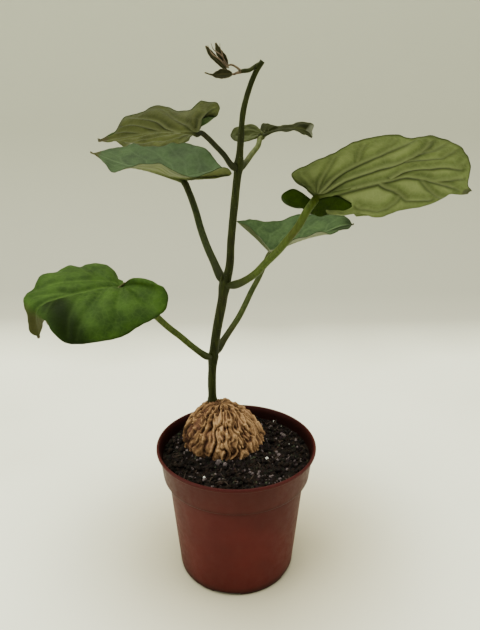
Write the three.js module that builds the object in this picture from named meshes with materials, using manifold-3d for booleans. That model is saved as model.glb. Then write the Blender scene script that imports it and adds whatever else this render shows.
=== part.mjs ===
// A caudex plant in a nursery pot: a fissured corky tuber half sunk in potting soil, one green
// stem with three pairs of opposite heart-shaped leaves, and a nodding shoot tip with young leaves.
// Millimetres, +Z up. The origin is the centre of the pot's underside, and the front is -Y.
import * as THREE from "three";
import { mergeVertices } from "three/addons/utils/BufferGeometryUtils.js";
import Module from "manifold-3d";

const wasm = await Module();
wasm.setup();

// Driving dimensions of the pot
const RIM_RADIUS = 45; // a 9 cm nursery pot
const POT_HEIGHT = 77;
const BASE_RADIUS = 33.5;
const WALL = 1.1;
const LIP = { depth: 2.2, overhang: 1.4 };
const COLLAR = { height: 17.5, taper: 2.0, step: 2.9 };
const FLOOR = 2.2;
const DRAIN_HOLE = { radius: 3, ring: 22, count: 6 };
const FOOT_NOTCH = { width: 15, depth: 2.6, height: 1.5, count: 5, turn: 81 };
const POT_SIDES = 48;

// Fit and fill
const SEAT_GAP = 0.3; // between pieces that touch
const SOIL_TOP = 71.5;
const SOIL_GRAIN = 1.5;

// The tuber
const CAUDEX = { x: -7, y: 11, radius: 23.6, tilt: 0.06 };
const CAUDEX_PROFILE = [
  [0, 95.6], [0.2, 95.2], [0.4, 93.2], [0.57, 90], [0.73, 85.7], [0.86, 80.8], [0.96, 75.8],
  [1.0, 71], [0.99, 66], [0.92, 61], [0.78, 56.5], [0.55, 53], [0.28, 51], [0, 50],
];
const CAUDEX_RIDGES = 15;
const CAUDEX_RELIEF = 1.5;
const CAUDEX_SIDES = 58;

// Leaf blades
const BLADE = 0.8;
const BLADE_VEINS = 18;
const BLADE_STEPS = 5;
const LOBE_SHARE = 0.28; // of the margin, served by veins that fan from the petiole
const RIB = { depth: 0.9, share: 0.05 }; // the midrib's ridge under the blade
const PETIOLE_DROP = 0.8;

const COLOURS = {
  pot: 0x7a3026,
  soil: 0x2a2320,
  caudex: 0xa07c55,
  stem: 0x2f4414,
  darkLeaf: 0x3c5c26,
  blueLeaf: 0x4c6c48,
  paleLeaf: 0x6b7c3c,
  youngLeaf: 0x453f26,
};

const mix = THREE.MathUtils.lerp;
const vec = (p) => new THREE.Vector3(...p);
const smooth = (points) => new THREE.CatmullRomCurve3(points.map(vec), false, "centripetal");

function material(colour, roughness) {
  return new THREE.MeshStandardMaterial({ color: colour, roughness, metalness: 0 });
}

function solidOf(geometry) {
  const bare = geometry.clone();
  bare.deleteAttribute("normal");
  bare.deleteAttribute("uv");
  const merged = mergeVertices(bare, 1e-4);
  return new wasm.Manifold(
    new wasm.Mesh({
      numProp: 3,
      vertProperties: new Float32Array(merged.attributes.position.array),
      triVerts: new Uint32Array(merged.index.array),
    }),
  );
}

function geometryOf(solid) {
  const mesh = solid.getMesh();
  const geometry = new THREE.BufferGeometry();
  geometry.setAttribute("position", new THREE.BufferAttribute(mesh.vertProperties, 3));
  geometry.setIndex(new THREE.BufferAttribute(mesh.triVerts, 1));
  geometry.computeVertexNormals();
  return geometry;
}

function piece(name, solid, colour, roughness) {
  const mesh = new THREE.Mesh(geometryOf(solid), material(colour, roughness));
  mesh.name = name;
  return mesh;
}

function closedGeometry(points, triangles) {
  const geometry = new THREE.BufferGeometry().setFromPoints(points);
  geometry.setIndex(triangles);
  return geometry;
}

// A repeatable number from 0 to 1 for a cell of a grid
function chance(i, j) {
  const value = Math.sin(i * 12.9898 + j * 78.233) * 43758.5453;
  return value - Math.floor(value);
}

// Smooth bumps from -1 to 1 on a unit grid
function bumps(x, y) {
  const [i, j] = [Math.floor(x), Math.floor(y)];
  const ease = (t) => t * t * (3 - 2 * t);
  const [u, v] = [ease(x - i), ease(y - j)];
  const low = mix(chance(i, j), chance(i + 1, j), u);
  const high = mix(chance(i, j + 1), chance(i + 1, j + 1), u);
  return 2 * mix(low, high, v) - 1;
}

// A lathe about +Z, from [radius, height] points that run up the outside and back to the axis
function latheSolid(profile, sides) {
  const points = profile.map(([r, z]) => new THREE.Vector2(r, z));
  return solidOf(new THREE.LatheGeometry(points, sides).rotateX(Math.PI / 2));
}

// A closed skin over rings of points, between a first and a last pole
function ringSolid(first, rings, last) {
  const sides = rings[0].length;
  const points = [first, ...rings.flat(), last];
  const at = (i, k) => 1 + i * sides + (k % sides);
  const triangles = [];
  for (let k = 0; k < sides; k++) {
    triangles.push(0, at(0, k), at(0, k + 1));
    for (let i = 0; i < rings.length - 1; i++) {
      triangles.push(at(i, k), at(i + 1, k), at(i + 1, k + 1));
      triangles.push(at(i, k), at(i + 1, k + 1), at(i, k + 1));
    }
    const end = rings.length - 1;
    triangles.push(points.length - 1, at(end, k + 1), at(end, k));
  }
  return solidOf(closedGeometry(points, triangles));
}

// A round bar along a curve, with a radius for every share of its length
function barSolid(curve, radiusAt, sides, steps) {
  const frames = curve.computeFrenetFrames(steps, false);
  const rings = [];
  for (let i = 0; i <= steps; i++) {
    const centre = curve.getPointAt(i / steps);
    const radius = radiusAt(i / steps);
    const ring = [];
    for (let k = 0; k < sides; k++) {
      const turn = (-2 * Math.PI * k) / sides;
      const spoke = frames.normals[i].clone().multiplyScalar(radius * Math.cos(turn));
      spoke.addScaledVector(frames.binormals[i], radius * Math.sin(turn));
      ring.push(spoke.add(centre));
    }
    rings.push(ring);
  }
  return ringSolid(curve.getPointAt(0), rings, curve.getPointAt(1));
}

// A thin closed slab around an open sheet of triangles, with the same triangles on both faces.
// Ridges lists how much further the underside stands off at a point.
function slabSolid(sheet, facets, thickness, ridges = []) {
  const normals = sheet.map(() => new THREE.Vector3());
  const borders = new Map();
  for (const facet of facets) {
    const [a, b, c] = facet.map((n) => sheet[n]);
    const normal = b.clone().sub(a).cross(c.clone().sub(a));
    facet.forEach((n, k) => {
      normals[n].add(normal);
      const next = facet[(k + 1) % 3];
      if (!borders.delete(`${next},${n}`)) borders.set(`${n},${next}`, [n, next]);
    });
  }
  const offset = (n, by) => sheet[n].clone().addScaledVector(normals[n].normalize(), by);
  const half = thickness / 2;
  const points = sheet.flatMap((_, n) => [offset(n, half), offset(n, -half - (ridges[n] ?? 0))]);
  const triangles = [];
  for (const [a, b, c] of facets) {
    triangles.push(2 * a, 2 * b, 2 * c, 2 * a + 1, 2 * c + 1, 2 * b + 1);
  }
  for (const [a, b] of borders.values()) {
    triangles.push(2 * a, 2 * a + 1, 2 * b + 1, 2 * a, 2 * b + 1, 2 * b);
  }
  return solidOf(closedGeometry(points, triangles));
}

// The value of an even list of numbers at a share of its length
function listed(list, share) {
  const at = share * (list.length - 1);
  const i = Math.min(Math.floor(at), list.length - 2);
  return mix(list[i], list[i + 1], at - i);
}

// The outer surface of the pot: foot, body, step, collar and lip, as [radius, height]
const collarFoot = POT_HEIGHT - COLLAR.height;
const collarTop = RIM_RADIUS - LIP.overhang;
const bodyTop = collarTop - COLLAR.taper - COLLAR.step;
const POT_OUTSIDE = [
  [BASE_RADIUS - 0.8, 0], [BASE_RADIUS, 0.8], [bodyTop, collarFoot],
  [bodyTop + COLLAR.step - 0.6, collarFoot], [bodyTop + COLLAR.step, collarFoot + 0.6],
  [collarTop, POT_HEIGHT - LIP.depth - 0.5], [RIM_RADIUS - 0.5, POT_HEIGHT - LIP.depth],
  [RIM_RADIUS, POT_HEIGHT - LIP.depth + 0.6], [RIM_RADIUS, POT_HEIGHT - 0.7],
  [RIM_RADIUS - 0.8, POT_HEIGHT],
];
const POT_INSIDE = [
  [RIM_RADIUS - 1.4, POT_HEIGHT - 0.2], [collarTop - WALL, POT_HEIGHT - LIP.depth - 1.2],
  [bodyTop + COLLAR.step - WALL, collarFoot + 1], [bodyTop - WALL, collarFoot - 1.8],
  [BASE_RADIUS - WALL - 0.6, FLOOR],
];

// The radius of the pot's inside at a height
function insideRadius(z) {
  let i = 0;
  while (i < POT_INSIDE.length - 2 && z < POT_INSIDE[i + 1][1]) i++;
  const [[upper, top], [lower, bottom]] = POT_INSIDE.slice(i, i + 2);
  return mix(upper, lower, (top - z) / (top - bottom));
}

function potSolid() {
  let pot = latheSolid([[0, 0], ...POT_OUTSIDE, ...POT_INSIDE, [0, FLOOR]], POT_SIDES);
  const hole = new THREE.CylinderGeometry(DRAIN_HOLE.radius, DRAIN_HOLE.radius, 3 * FLOOR, 14);
  hole.rotateX(Math.PI / 2).translate(DRAIN_HOLE.ring, 0, FLOOR / 2);
  const notch = new THREE.BoxGeometry(2 * FOOT_NOTCH.depth, FOOT_NOTCH.width, 2 * FOOT_NOTCH.height);
  notch.translate(BASE_RADIUS, 0, 0);
  for (let k = 0; k < DRAIN_HOLE.count; k++) {
    pot = pot.subtract(solidOf(hole.clone().rotateZ((2 * Math.PI * k) / DRAIN_HOLE.count)));
  }
  for (let k = 0; k < FOOT_NOTCH.count; k++) {
    const turn = THREE.MathUtils.degToRad(FOOT_NOTCH.turn) + (2 * Math.PI * k) / FOOT_NOTCH.count;
    pot = pot.subtract(solidOf(notch.clone().rotateZ(turn + Math.PI)));
  }
  return pot;
}

// The tuber: a low dome with wandering ridges that run down from the crown
function caudexRelief(turn, z) {
  const bare = THREE.MathUtils.smoothstep(z, 56, 70);
  const wander = 0.16 * Math.sin(2 * turn + z * 0.11) + 0.1 * Math.sin(5 * turn - z * 0.17);
  const phase = (CAUDEX_RIDGES * (turn + wander)) / (2 * Math.PI);
  const across = Math.abs(2 * (phase - Math.floor(phase)) - 1);
  const ridge = 1 - across ** 1.6;
  const lumps = bumps(3.2 * Math.cos(turn) + 9, 3.2 * Math.sin(turn) + z / 6);
  return CAUDEX_RELIEF * bare * (ridge - 0.6 + 0.6 * lumps);
}

function caudexSolid(margin) {
  const outline = CAUDEX_PROFILE.map(([r, z]) => new THREE.Vector2(r * CAUDEX.radius, z));
  const curve = new THREE.SplineCurve(outline);
  const widest = 71;
  const rows = 24;
  const rings = [];
  for (let i = 1; i < rows; i++) {
    const { x: radius, y: z } = curve.getPointAt(i / rows);
    const [, slope] = curve.getTangentAt(i / rows).toArray();
    const ring = [];
    for (let k = 0; k < CAUDEX_SIDES; k++) {
      const turn = (2 * Math.PI * k) / CAUDEX_SIDES;
      const out = caudexRelief(turn, z) * THREE.MathUtils.smoothstep(radius, 2, 9) + margin;
      const reach = radius - slope * out;
      const rise = z + Math.sign(z - widest) * Math.sqrt(Math.max(0, 1 - slope * slope)) * out;
      const lean = CAUDEX.tilt * THREE.MathUtils.smoothstep(z, 66, 80);
      const [x, y] = [reach * Math.cos(turn), reach * Math.sin(turn)];
      ring.push(vec([CAUDEX.x + x - lean * (z - widest), CAUDEX.y + y, rise - lean * x]));
    }
    rings.push(ring);
  }
  const [crown, root] = [CAUDEX_PROFILE[0][1], CAUDEX_PROFILE.at(-1)[1]];
  const top = vec([CAUDEX.x - CAUDEX.tilt * (crown - widest), CAUDEX.y, crown + margin]);
  return ringSolid(top, rings, vec([CAUDEX.x, CAUDEX.y, root - margin]));
}

// The soil: it fills the pot below the lip, with a crumbly top
function soilTop(x, y) {
  const grains = bumps(x / 3.1 + 40, y / 3.1 + 40) + 0.7 * bumps(x / 6.5 + 11, y / 6.5 + 70);
  return SOIL_TOP + 0.6 * SOIL_GRAIN * grains + 0.6 * bumps(x / 19 + 5, y / 19 + 5);
}

function soilSolid() {
  const wallHeights = [SOIL_TOP - 3, collarFoot + 0.8, collarFoot - 2.2, 40, 20, FLOOR + SEAT_GAP];
  const ringAt = (radius, heightAt) => {
    const ring = [];
    for (let k = 0; k < POT_SIDES; k++) {
      const turn = (2 * Math.PI * k) / POT_SIDES;
      const [x, y] = [radius * Math.cos(turn), radius * Math.sin(turn)];
      ring.push(vec([x, y, heightAt(x, y)]));
    }
    return ring;
  };
  const rings = [];
  const edge = insideRadius(SOIL_TOP - 1) - 1.5 * SEAT_GAP;
  const count = 12;
  for (let i = 1; i < count; i++) rings.push(ringAt((edge * i) / count, soilTop));
  rings.push(ringAt(edge, () => SOIL_TOP - 1));
  for (const z of wallHeights) rings.push(ringAt(insideRadius(z) - 1.5 * SEAT_GAP, () => z));
  rings.push(ringAt(BASE_RADIUS / 2, () => FLOOR + SEAT_GAP));
  return ringSolid(vec([0, 0, SOIL_TOP]), rings, vec([0, 0, FLOOR + SEAT_GAP]));
}

// The stem, from its socket in the tuber up to the blunt end where the shoot nods over
const stemCurve = smooth([
  [-14, 15, 84],
  [-14, 15, 96.5], [-14, 14, 108.5], [-13, 12.5, 123.5], [-10.7, 11, 140], [-7.5, 9.5, 157],
  [-6, 9, 166.5], [-3.5, 8.5, 176], [-2.5, 8, 190.5], [-1, 8, 206], [0.5, 8, 220], [1.5, 8, 228],
  [2.5, 7, 240], [3.6, 6, 252.5], [6.5, 5, 263], [9.5, 4.5, 270], [12.5, 4, 274.5],
]);
const STEM_RADIUS = [
  2.35, 2.4, 2.4, 2.45, 2.55, 2.65, 2.45, 2.1, 2, 2.05, 1.95, 1.65, 1.4, 1.3, 1.2,
];
const NODE_HEIGHTS = [123, 166.5, 228]; // where the leaf pairs join
const NODE_SWELL = { extra: 0.6, half: 3.2 };
const FOOT_SWELL = { height: 95, extra: 0.6, half: 2.6 };

function stemRadius(share) {
  const z = stemCurve.getPointAt(share).z;
  const swell = (height, { extra, half }) => extra * Math.exp(-(((z - height) / half) ** 2));
  let radius = listed(STEM_RADIUS, share) + swell(FOOT_SWELL.height, FOOT_SWELL);
  for (const height of NODE_HEIGHTS) radius += swell(height, NODE_SWELL);
  return radius;
}

// The nodding side shoot and the small buds, as a path with a list of radii
const SHOOTS = [
  {
    path: [[11.5, 4, 273.5], [9.5, 3.5, 272.5], [6.5, 2.5, 270.5], [3.5, 1.5, 270], [1.5, 1, 269.5]],
    radii: [0.9, 0.85, 0.95, 1, 0.8],
  },
  {
    path: [[2.5, 1, 270], [0.5, 1, 271.5], [-2, 0.5, 272.5], [-3.5, 0, 272]],
    radii: [0.6, 0.5, 0.45, 0.4],
  },
  {
    path: [[2.5, 1, 269.5], [0.5, 0.5, 269], [-0.5, 0, 268.5], [-2, 0, 268.5]],
    radii: [0.7, 0.6, 0.5, 0.45],
  },
  {
    path: [[-6, 8.5, 166.5], [-7.5, 7, 170], [-7, 7, 173]],
    radii: [0.9, 0.75, 0.3],
  },
];

function stemSolid(margin) {
  let stem = barSolid(stemCurve, (share) => stemRadius(share) + margin, 10, 40);
  for (const { path, radii } of SHOOTS) {
    stem = stem.add(barSolid(smooth(path), (share) => listed(radii, share) + margin, 6, 6));
  }
  return stem;
}

// The leaves. Every list runs through points in millimetres: the midrib from the petiole to the
// tip, and each margin from the notch round its lobe to the same tip. Left is seen from above.
// Toward and belly give the way and the amount by which the half swells off the straight.
const LEAVES = {
  leaf_lower_left: {
    colour: COLOURS.darkLeaf,
    petiole: [
      [-13.5, 12, 123], [-17.5, 5, 128], [-23.5, -3, 136.5], [-28.5, -9, 144], [-34, -15, 151.5],
      [-39, -21, 159.5], [-44.5, -27, 168],
    ],
    radii: [1.8, 1.6],
    midrib: [
      [-52.5, -33, 176.5], [-59, -37.5, 177.5], [-65, -41.5, 177], [-71, -45, 176.5],
      [-75.5, -48.5, 176], [-80, -52, 175], [-83, -53.5, 172.5], [-85, -52, 166.5],
      [-86, -48, 158],
    ],
    left: {
      margin: [
        [-50, -34, 177.5], [-46.5, -37, 180.5], [-42, -40, 183.2], [-36.5, -44, 183.5],
        [-31.5, -48, 181.1], [-28.5, -50, 178], [-28.6, -52, 173.5], [-32.5, -55, 170],
        [-37.2, -58, 167.2], [-43.1, -61, 164.7], [-50, -65, 163.7], [-59.6, -67, 161.7],
        [-66.5, -66.5, 162.2], [-73.8, -64, 166.4], [-77.5, -60, 168.7], [-80.5, -55, 166.6],
        [-86, -48, 158],
      ],
      toward: [0, -0.5, 0.85],
      belly: [0, 2, 4, 5, 4, 1, 0],
    },
    right: {
      margin: [
        [-50.5, -31, 177.5], [-53.5, -25, 178], [-57.5, -17, 179.5], [-62, -13, 181.5],
        [-67.9, -13, 184], [-72.4, -15, 184.1], [-75.5, -17, 182.3], [-78.5, -20, 183.5],
        [-82.4, -25, 183], [-86.5, -33, 182.5], [-88.2, -40, 179], [-91, -44, 177.4],
        [-90.2, -49, 173], [-88.6, -51, 168], [-88.8, -50, 162], [-86, -48, 158],
      ],
      toward: [0, 0, 1],
      belly: [0, 1, 2, 2, 1, 0, 0],
    },
    wave: { height: 0.9, count: 5, phase: 0.4 },
  },
  leaf_lower_right: {
    colour: COLOURS.blueLeaf,
    petiole: [
      [-12.5, 12, 124], [-7.5, 20, 130.5], [-3, 25, 136], [1.5, 29, 142], [5.5, 33, 149],
      [9, 37, 155.5], [13, 41, 162], [16.5, 46, 168.5],
    ],
    radii: [1.9, 1.5],
    midrib: [
      [20, 51, 176], [32, 58, 179.6], [42.5, 63, 182.2], [55.4, 69, 184.8], [65.9, 74, 187.8],
      [74.8, 79, 188.1],
    ],
    left: {
      margin: [
        [18.5, 52, 178.5], [13, 54, 184.4], [6.5, 57, 190.5], [0, 61, 193.5], [6.5, 66, 193],
        [13.5, 71, 191], [22, 76, 191], [29.5, 80, 191], [41, 85, 193.5], [53, 87, 194.5],
        [64, 86, 194], [72.2, 83, 191.5], [74.8, 79, 188.1],
      ],
      toward: [0, 0, -1],
      belly: [0, 0, 0, 2, 2, 1, 0],
    },
    right: {
      margin: [
        [21, 49, 176.5], [25.5, 42, 180], [29.5, 36, 182.5], [33, 33, 186], [37, 34, 188],
        [44, 39, 189], [51.5, 45, 188], [59, 53, 187.5], [66, 62, 187.5], [71.5, 71, 187.4],
        [74.8, 79, 188.1],
      ],
      toward: [0, 0, 1],
      belly: [0, 0, 0, 0, 0, 0, 0],
    },
    wave: { height: 0.8, count: 4, phase: 1.8 },
  },
  leaf_middle_left: {
    colour: COLOURS.blueLeaf,
    petiole: [
      [-6, 9, 166.5], [-9, 14, 171], [-12, 19, 176.5], [-15, 24, 183.5], [-18.5, 30, 192.5],
      [-22, 36, 202.5], [-26, 41, 211],
    ],
    radii: [1.7, 1.3],
    midrib: [
      [-29.5, 46, 218.5], [-37, 49, 220], [-43.5, 52, 221.5], [-53, 56, 223.5], [-62.5, 60, 225],
      [-72.5, 65, 227.5], [-81, 69, 230.5], [-88, 72, 232.5],
    ],
    left: {
      margin: [
        [-27, 44, 217.5], [-21.5, 39, 219], [-16, 34, 220], [-8, 29, 221], [-2.5, 27, 222.5],
        [-6.5, 24, 225.5], [-14.5, 21, 224.5], [-24, 20, 221.5], [-31.5, 20, 223.5],
        [-39.5, 23, 228.5], [-46.5, 26, 228.5], [-56, 33, 226], [-65.5, 41, 224], [-71, 48, 222],
        [-76.5, 57, 226.5], [-80, 65, 230], [-88, 72, 232.5],
      ],
      toward: [0, 0, 1],
      belly: [0, 0, 0, 0, 0, 0, 0],
    },
    right: {
      margin: [
        [-25.5, 49, 218], [-17, 53, 220.5], [-8, 59, 224], [-12, 66, 228], [-20, 71, 235.5],
        [-28, 74, 238], [-43.5, 76, 238.5], [-59.5, 79, 238], [-73.5, 81, 236.5], [-81.5, 78, 234],
        [-88, 72, 232.5],
      ],
      toward: [0, 0, -1],
      belly: [0, 1, 2, 2, 1, 1, 0],
    },
    wave: { height: 0.8, count: 5, phase: 0.9 },
  },
  leaf_middle_right: {
    colour: COLOURS.paleLeaf,
    petiole: [
      [-6, 8, 166], [0, 3, 168.5], [4.5, -3, 172], [10, -11, 178], [14.5, -19, 185],
      [19, -28, 192], [22.5, -36, 198.5], [26.5, -42, 205.5], [29.5, -44.5, 212], [32, -42.5, 215],
    ],
    radii: [2.1, 1.6],
    midrib: [
      [34.5, -38, 217], [45.5, -41, 220.5], [53.5, -44, 223], [62, -48, 225.5], [67, -50, 227],
      [72.5, -52, 226.5], [79, -55, 225], [84.5, -57, 223.5], [89, -60, 221.5],
    ],
    left: {
      margin: [
        [32, -37, 216], [28, -34, 214.5], [23.5, -33, 214], [20.2, -34, 215.6], [19.4, -38, 218.5],
        [22.6, -40, 219.9], [27, -41, 219.1], [32, -41.5, 217], [38, -41, 217], [44, -40.5, 216.5],
        [51, -39.5, 214], [50.6, -37.5, 209.5], [57.6, -38, 208.7], [64.6, -40, 210.2],
        [70.5, -42, 212.1], [76, -45, 214.6], [82.1, -50, 216.8], [85.1, -55, 220.2], [89, -60, 221.5],
      ],
      toward: [0, 0.3, -0.95],
      belly: [1, 4, 7, 8.5, 8.5, 5, 1.5, 1, 0.5, 0],
    },
    right: {
      margin: [
        [32, -39, 219], [28.6, -42, 221.1], [24.2, -45, 224.1], [22.4, -47, 227.5], [24.5, -48, 229.5],
        [32.5, -50, 233], [38.5, -52, 235.5], [42.5, -54, 238.5], [48.5, -58, 240.5],
        [54.5, -62, 242], [59.3, -64, 242.2], [63.6, -67, 241.2], [69, -69, 242], [73.7, -70, 240.2],
        [81.6, -69, 237.5], [84.9, -67, 233.5], [87.4, -63, 226], [89, -60, 221.5],
      ],
      toward: [0, 1, 0],
      belly: [0, 2, 3, 3, 3, 2, 1, 0],
    },
    wave: { height: 0.9, count: 6, phase: 2.4 },
  },
  leaf_upper_left: {
    colour: COLOURS.paleLeaf,
    petiole: [
      [1, 8, 225.5], [-2.2, 4, 228.3], [-5.5, -1, 233.1], [-9.5, -6, 237.5], [-12.7, -10, 240.9],
      [-15.5, -12.5, 243],
    ],
    radii: [1.45, 1.2],
    midrib: [
      [-17.5, -14, 243.5], [-25, -18, 244], [-32.5, -23, 244], [-38, -27, 243.5], [-46, -31, 242],
      [-52, -33, 241], [-56.5, -34, 240],
    ],
    left: {
      margin: [
        [-17, -15, 244.5], [-15.6, -19, 247.6], [-11.6, -23, 249.6], [-7.5, -26, 249.7],
        [-5.9, -29, 252.5], [-7.4, -31, 254.9], [-10.5, -32, 255], [-13.5, -34, 255.5],
        [-14.9, -36, 254], [-17.5, -36, 251.5], [-22.5, -38, 251.5], [-26, -40, 252.9],
        [-29.5, -42, 253], [-33.5, -44, 251.9], [-37.5, -45, 250.7], [-41.5, -45, 249.9],
        [-45.2, -43, 247.4], [-48.5, -39, 243.5], [-52.5, -36, 241.9], [-56.5, -34, 240],
      ],
      toward: [0, 0.8, 0.6],
      belly: [0, 1, 2, 2, 2, 1, 0],
    },
    right: {
      margin: [
        [-19, -12, 242], [-20.5, -8, 241], [-23, -3, 239.5], [-27.5, 1, 237.5], [-31, 1, 239],
        [-34.5, 0, 238], [-37.5, -2, 236.5], [-42, -6, 237.5], [-45.5, -11, 238],
        [-49, -16, 237.5], [-51.5, -22, 239], [-53.5, -29, 239.5], [-56.5, -34, 240],
      ],
      toward: [0, 0.3, 0.9],
      belly: [0, 1, 2, 2, 1, 1, 0],
    },
    wave: { height: 0.7, count: 5, phase: 0.2 },
  },
  leaf_upper_right: {
    colour: COLOURS.paleLeaf,
    petiole: [
      [1.5, 8, 226], [4.8, 12, 229], [8, 16, 233], [11.3, 20, 237], [12.5, 24, 240.5],
    ],
    radii: [1.5, 1.3],
    midrib: [
      [13.5, 26, 242.5], [19, 28, 244.5], [24.5, 30, 245.5], [31, 32, 246], [36, 33, 245.5],
      [39.9, 33, 242.5],
    ],
    left: {
      margin: [
        [12.5, 27, 243.5], [11, 28, 246], [7.5, 28, 247.5], [3.5, 27, 247], [-1.5, 25, 245.5],
        [-3, 23, 241.5], [-1, 21, 239], [5, 21, 239], [10.5, 24, 241.5], [13.8, 32, 248],
        [18, 38, 246], [24.5, 42, 247], [30, 43, 247], [33, 42, 248.5], [37.5, 40, 249.3],
        [41.6, 37, 248], [39.9, 33, 242.5],
      ],
      toward: [0, 0, 1],
      belly: [0, 0, 0, 1, 1, 1, 0],
    },
    right: {
      margin: [
        [14.5, 24, 242], [16.5, 20, 243], [19.5, 17, 244], [24, 16, 244.5], [30, 18, 244.5],
        [34, 21, 243.5], [37.5, 25, 241.5], [40.3, 30, 241.3], [39.9, 33, 242.5],
      ],
      toward: [0, 0, 1],
      belly: [0, 0, 1, 1, 1, 0, 0],
    },
    wave: { height: 0.4, count: 4, phase: 1.2 },
  },
};

// The sheet of a blade: a row of points along every vein, from the midrib out to the margin
function bladeSheet(leaf) {
  const { wave } = leaf;
  const midrib = smooth(leaf.midrib);
  const sheet = [];
  const facets = [];
  const ridges = [];
  const spine = [];
  for (let i = 0; i <= BLADE_VEINS; i++) {
    const foot = Math.max(0, (i / BLADE_VEINS - LOBE_SHARE) / (1 - LOBE_SHARE));
    const known = i > 0 && foot === 0;
    if (!known) {
      ridges[sheet.length] = RIB.depth * (1 - foot);
      sheet.push(midrib.getPointAt(foot ** 1.1));
    }
    spine.push(sheet.length - 1);
  }
  for (const [half, turned] of [[leaf.left, true], [leaf.right, false]]) {
    const margin = smooth(half.margin);
    const rows = [];
    for (let i = 0; i < BLADE_VEINS; i++) {
      const share = i / BLADE_VEINS;
      const row = [spine[i]];
      const edge = margin.getPointAt(share);
      for (let k = 0; k <= BLADE_STEPS; k++) {
        const t = mix(RIB.share, 1, k / BLADE_STEPS);
        const ripple = wave.height * Math.sin(2 * Math.PI * wave.count * share + wave.phase);
        const lift = 4 * t * (1 - t) * listed(half.belly, share) + t ** 3 * ripple;
        row.push(sheet.length);
        sheet.push(sheet[spine[i]].clone().lerp(edge, t).addScaledVector(vec(half.toward), lift));
      }
      rows.push(row);
    }
    rows.push(Array(BLADE_STEPS + 2).fill(spine[BLADE_VEINS]));
    for (let i = 0; i < BLADE_VEINS; i++) {
      for (let k = 0; k <= BLADE_STEPS; k++) {
        const [a, b, c, d] = [rows[i][k], rows[i][k + 1], rows[i + 1][k + 1], rows[i + 1][k]];
        for (const facet of [[a, b, c], [a, c, d]]) {
          if (new Set(facet).size < 3) continue;
          facets.push(turned ? facet.reverse() : facet);
        }
      }
    }
  }
  return { sheet, facets, ridges };
}

// Where the petiole ends: just under the blade at the start of its midrib
function petioleEnd({ midrib, left, right }) {
  const middle = (margin) => vec(margin[Math.floor(margin.length / 2)]);
  const along = vec(midrib.at(-1)).sub(vec(midrib[0]));
  const face = along.cross(middle(left.margin).sub(middle(right.margin))).normalize();
  return [...vec(midrib[0]).addScaledVector(face, -PETIOLE_DROP)];
}

function leafSolid(leaf, stem) {
  const { sheet, facets, ridges } = bladeSheet(leaf);
  const path = smooth([...leaf.petiole, petioleEnd(leaf)]);
  const petiole = barSolid(path, (share) => mix(...leaf.radii, share), 8, 12);
  return slabSolid(sheet, facets, BLADE, ridges).add(petiole).subtract(stem);
}

// The young leaves at the tip: narrow blades, half folded along the midrib
const YOUNG_LEAVES = {
  young_leaf_left: {
    midrib: [[-4, 0, 270], [-8, 0.5, 274], [-11, 1, 277], [-13.5, 1.5, 280.5]],
    halfWidths: [0.8, 0.9, 1.2, 1.2, 0.25],
  },
  young_leaf_right: {
    midrib: [[-3.5, 2, 271.5], [-5.5, 2.5, 275.5], [-7.5, 2.5, 278], [-9, 3, 282]],
    halfWidths: [0.8, 1.4, 1.7, 1.2, 0.25],
  },
  young_leaf_low: {
    midrib: [[-1.5, -0.5, 268.5], [-5.5, -1.5, 268.5], [-10, -2, 268], [-14, -2, 269]],
    halfWidths: [1, 1.7, 2, 2, 1.4, 0.4, 0.25, 0.2],
  },
};
const YOUNG_BLADE = 0.7;

function youngLeafSolid(leaf, stem) {
  const midrib = smooth(leaf.midrib);
  const [steps, columns] = [8, [-1, -0.5, 0, 0.5, 1]];
  const sheet = [];
  const facets = [];
  for (let i = 0; i <= steps; i++) {
    const centre = midrib.getPointAt(i / steps);
    const side = midrib.getTangentAt(i / steps).cross(vec([0, 1, 0])).normalize();
    const width = listed(leaf.halfWidths, i / steps);
    for (const column of columns) {
      const fold = vec([0, 0.5 * width * (0.5 - Math.abs(column)), 0]);
      sheet.push(centre.clone().addScaledVector(side, column * width).add(fold));
    }
  }
  for (let i = 0; i < steps; i++) {
    for (let k = 0; k < columns.length - 1; k++) {
      const a = i * columns.length + k;
      const c = a + columns.length + 1;
      facets.push([a, a + 1, c], [a, c, c - 1]);
    }
  }
  return slabSolid(sheet, facets, YOUNG_BLADE).subtract(stem);
}

const plant = new THREE.Group();
plant.name = "potted_caudex_plant";
const stem = stemSolid(0);
const stemRoom = stemSolid(SEAT_GAP);
plant.add(piece("pot", potSolid(), COLOURS.pot, 0.45));
plant.add(piece("soil", soilSolid().subtract(caudexSolid(SEAT_GAP)), COLOURS.soil, 0.95));
plant.add(piece("caudex", caudexSolid(0).subtract(stemRoom), COLOURS.caudex, 0.9));
plant.add(piece("stem", stem, COLOURS.stem, 0.5));
for (const [name, leaf] of Object.entries(LEAVES)) {
  plant.add(piece(name, leafSolid(leaf, stemRoom), leaf.colour, 0.55));
}
for (const [name, leaf] of Object.entries(YOUNG_LEAVES)) {
  plant.add(piece(name, youngLeafSolid(leaf, stemRoom), COLOURS.youngLeaf, 0.6));
}
export default plant;
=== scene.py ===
# A potted caudex plant: a corky tuber half sunk in potting soil, a green stem with three pairs of
# heart-shaped leaves and a nodding tip, in a thin terracotta-red nursery pot. The object's shapes are
# given in millimetres in the CAD frame: +Z up, the front to -Y, the origin under the middle of the
# pot. The studio round it is given in metres.
import math
import random
from bisect import bisect_right

import bmesh
import bpy
from mathutils import Matrix, Vector, kdtree, noise


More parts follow.
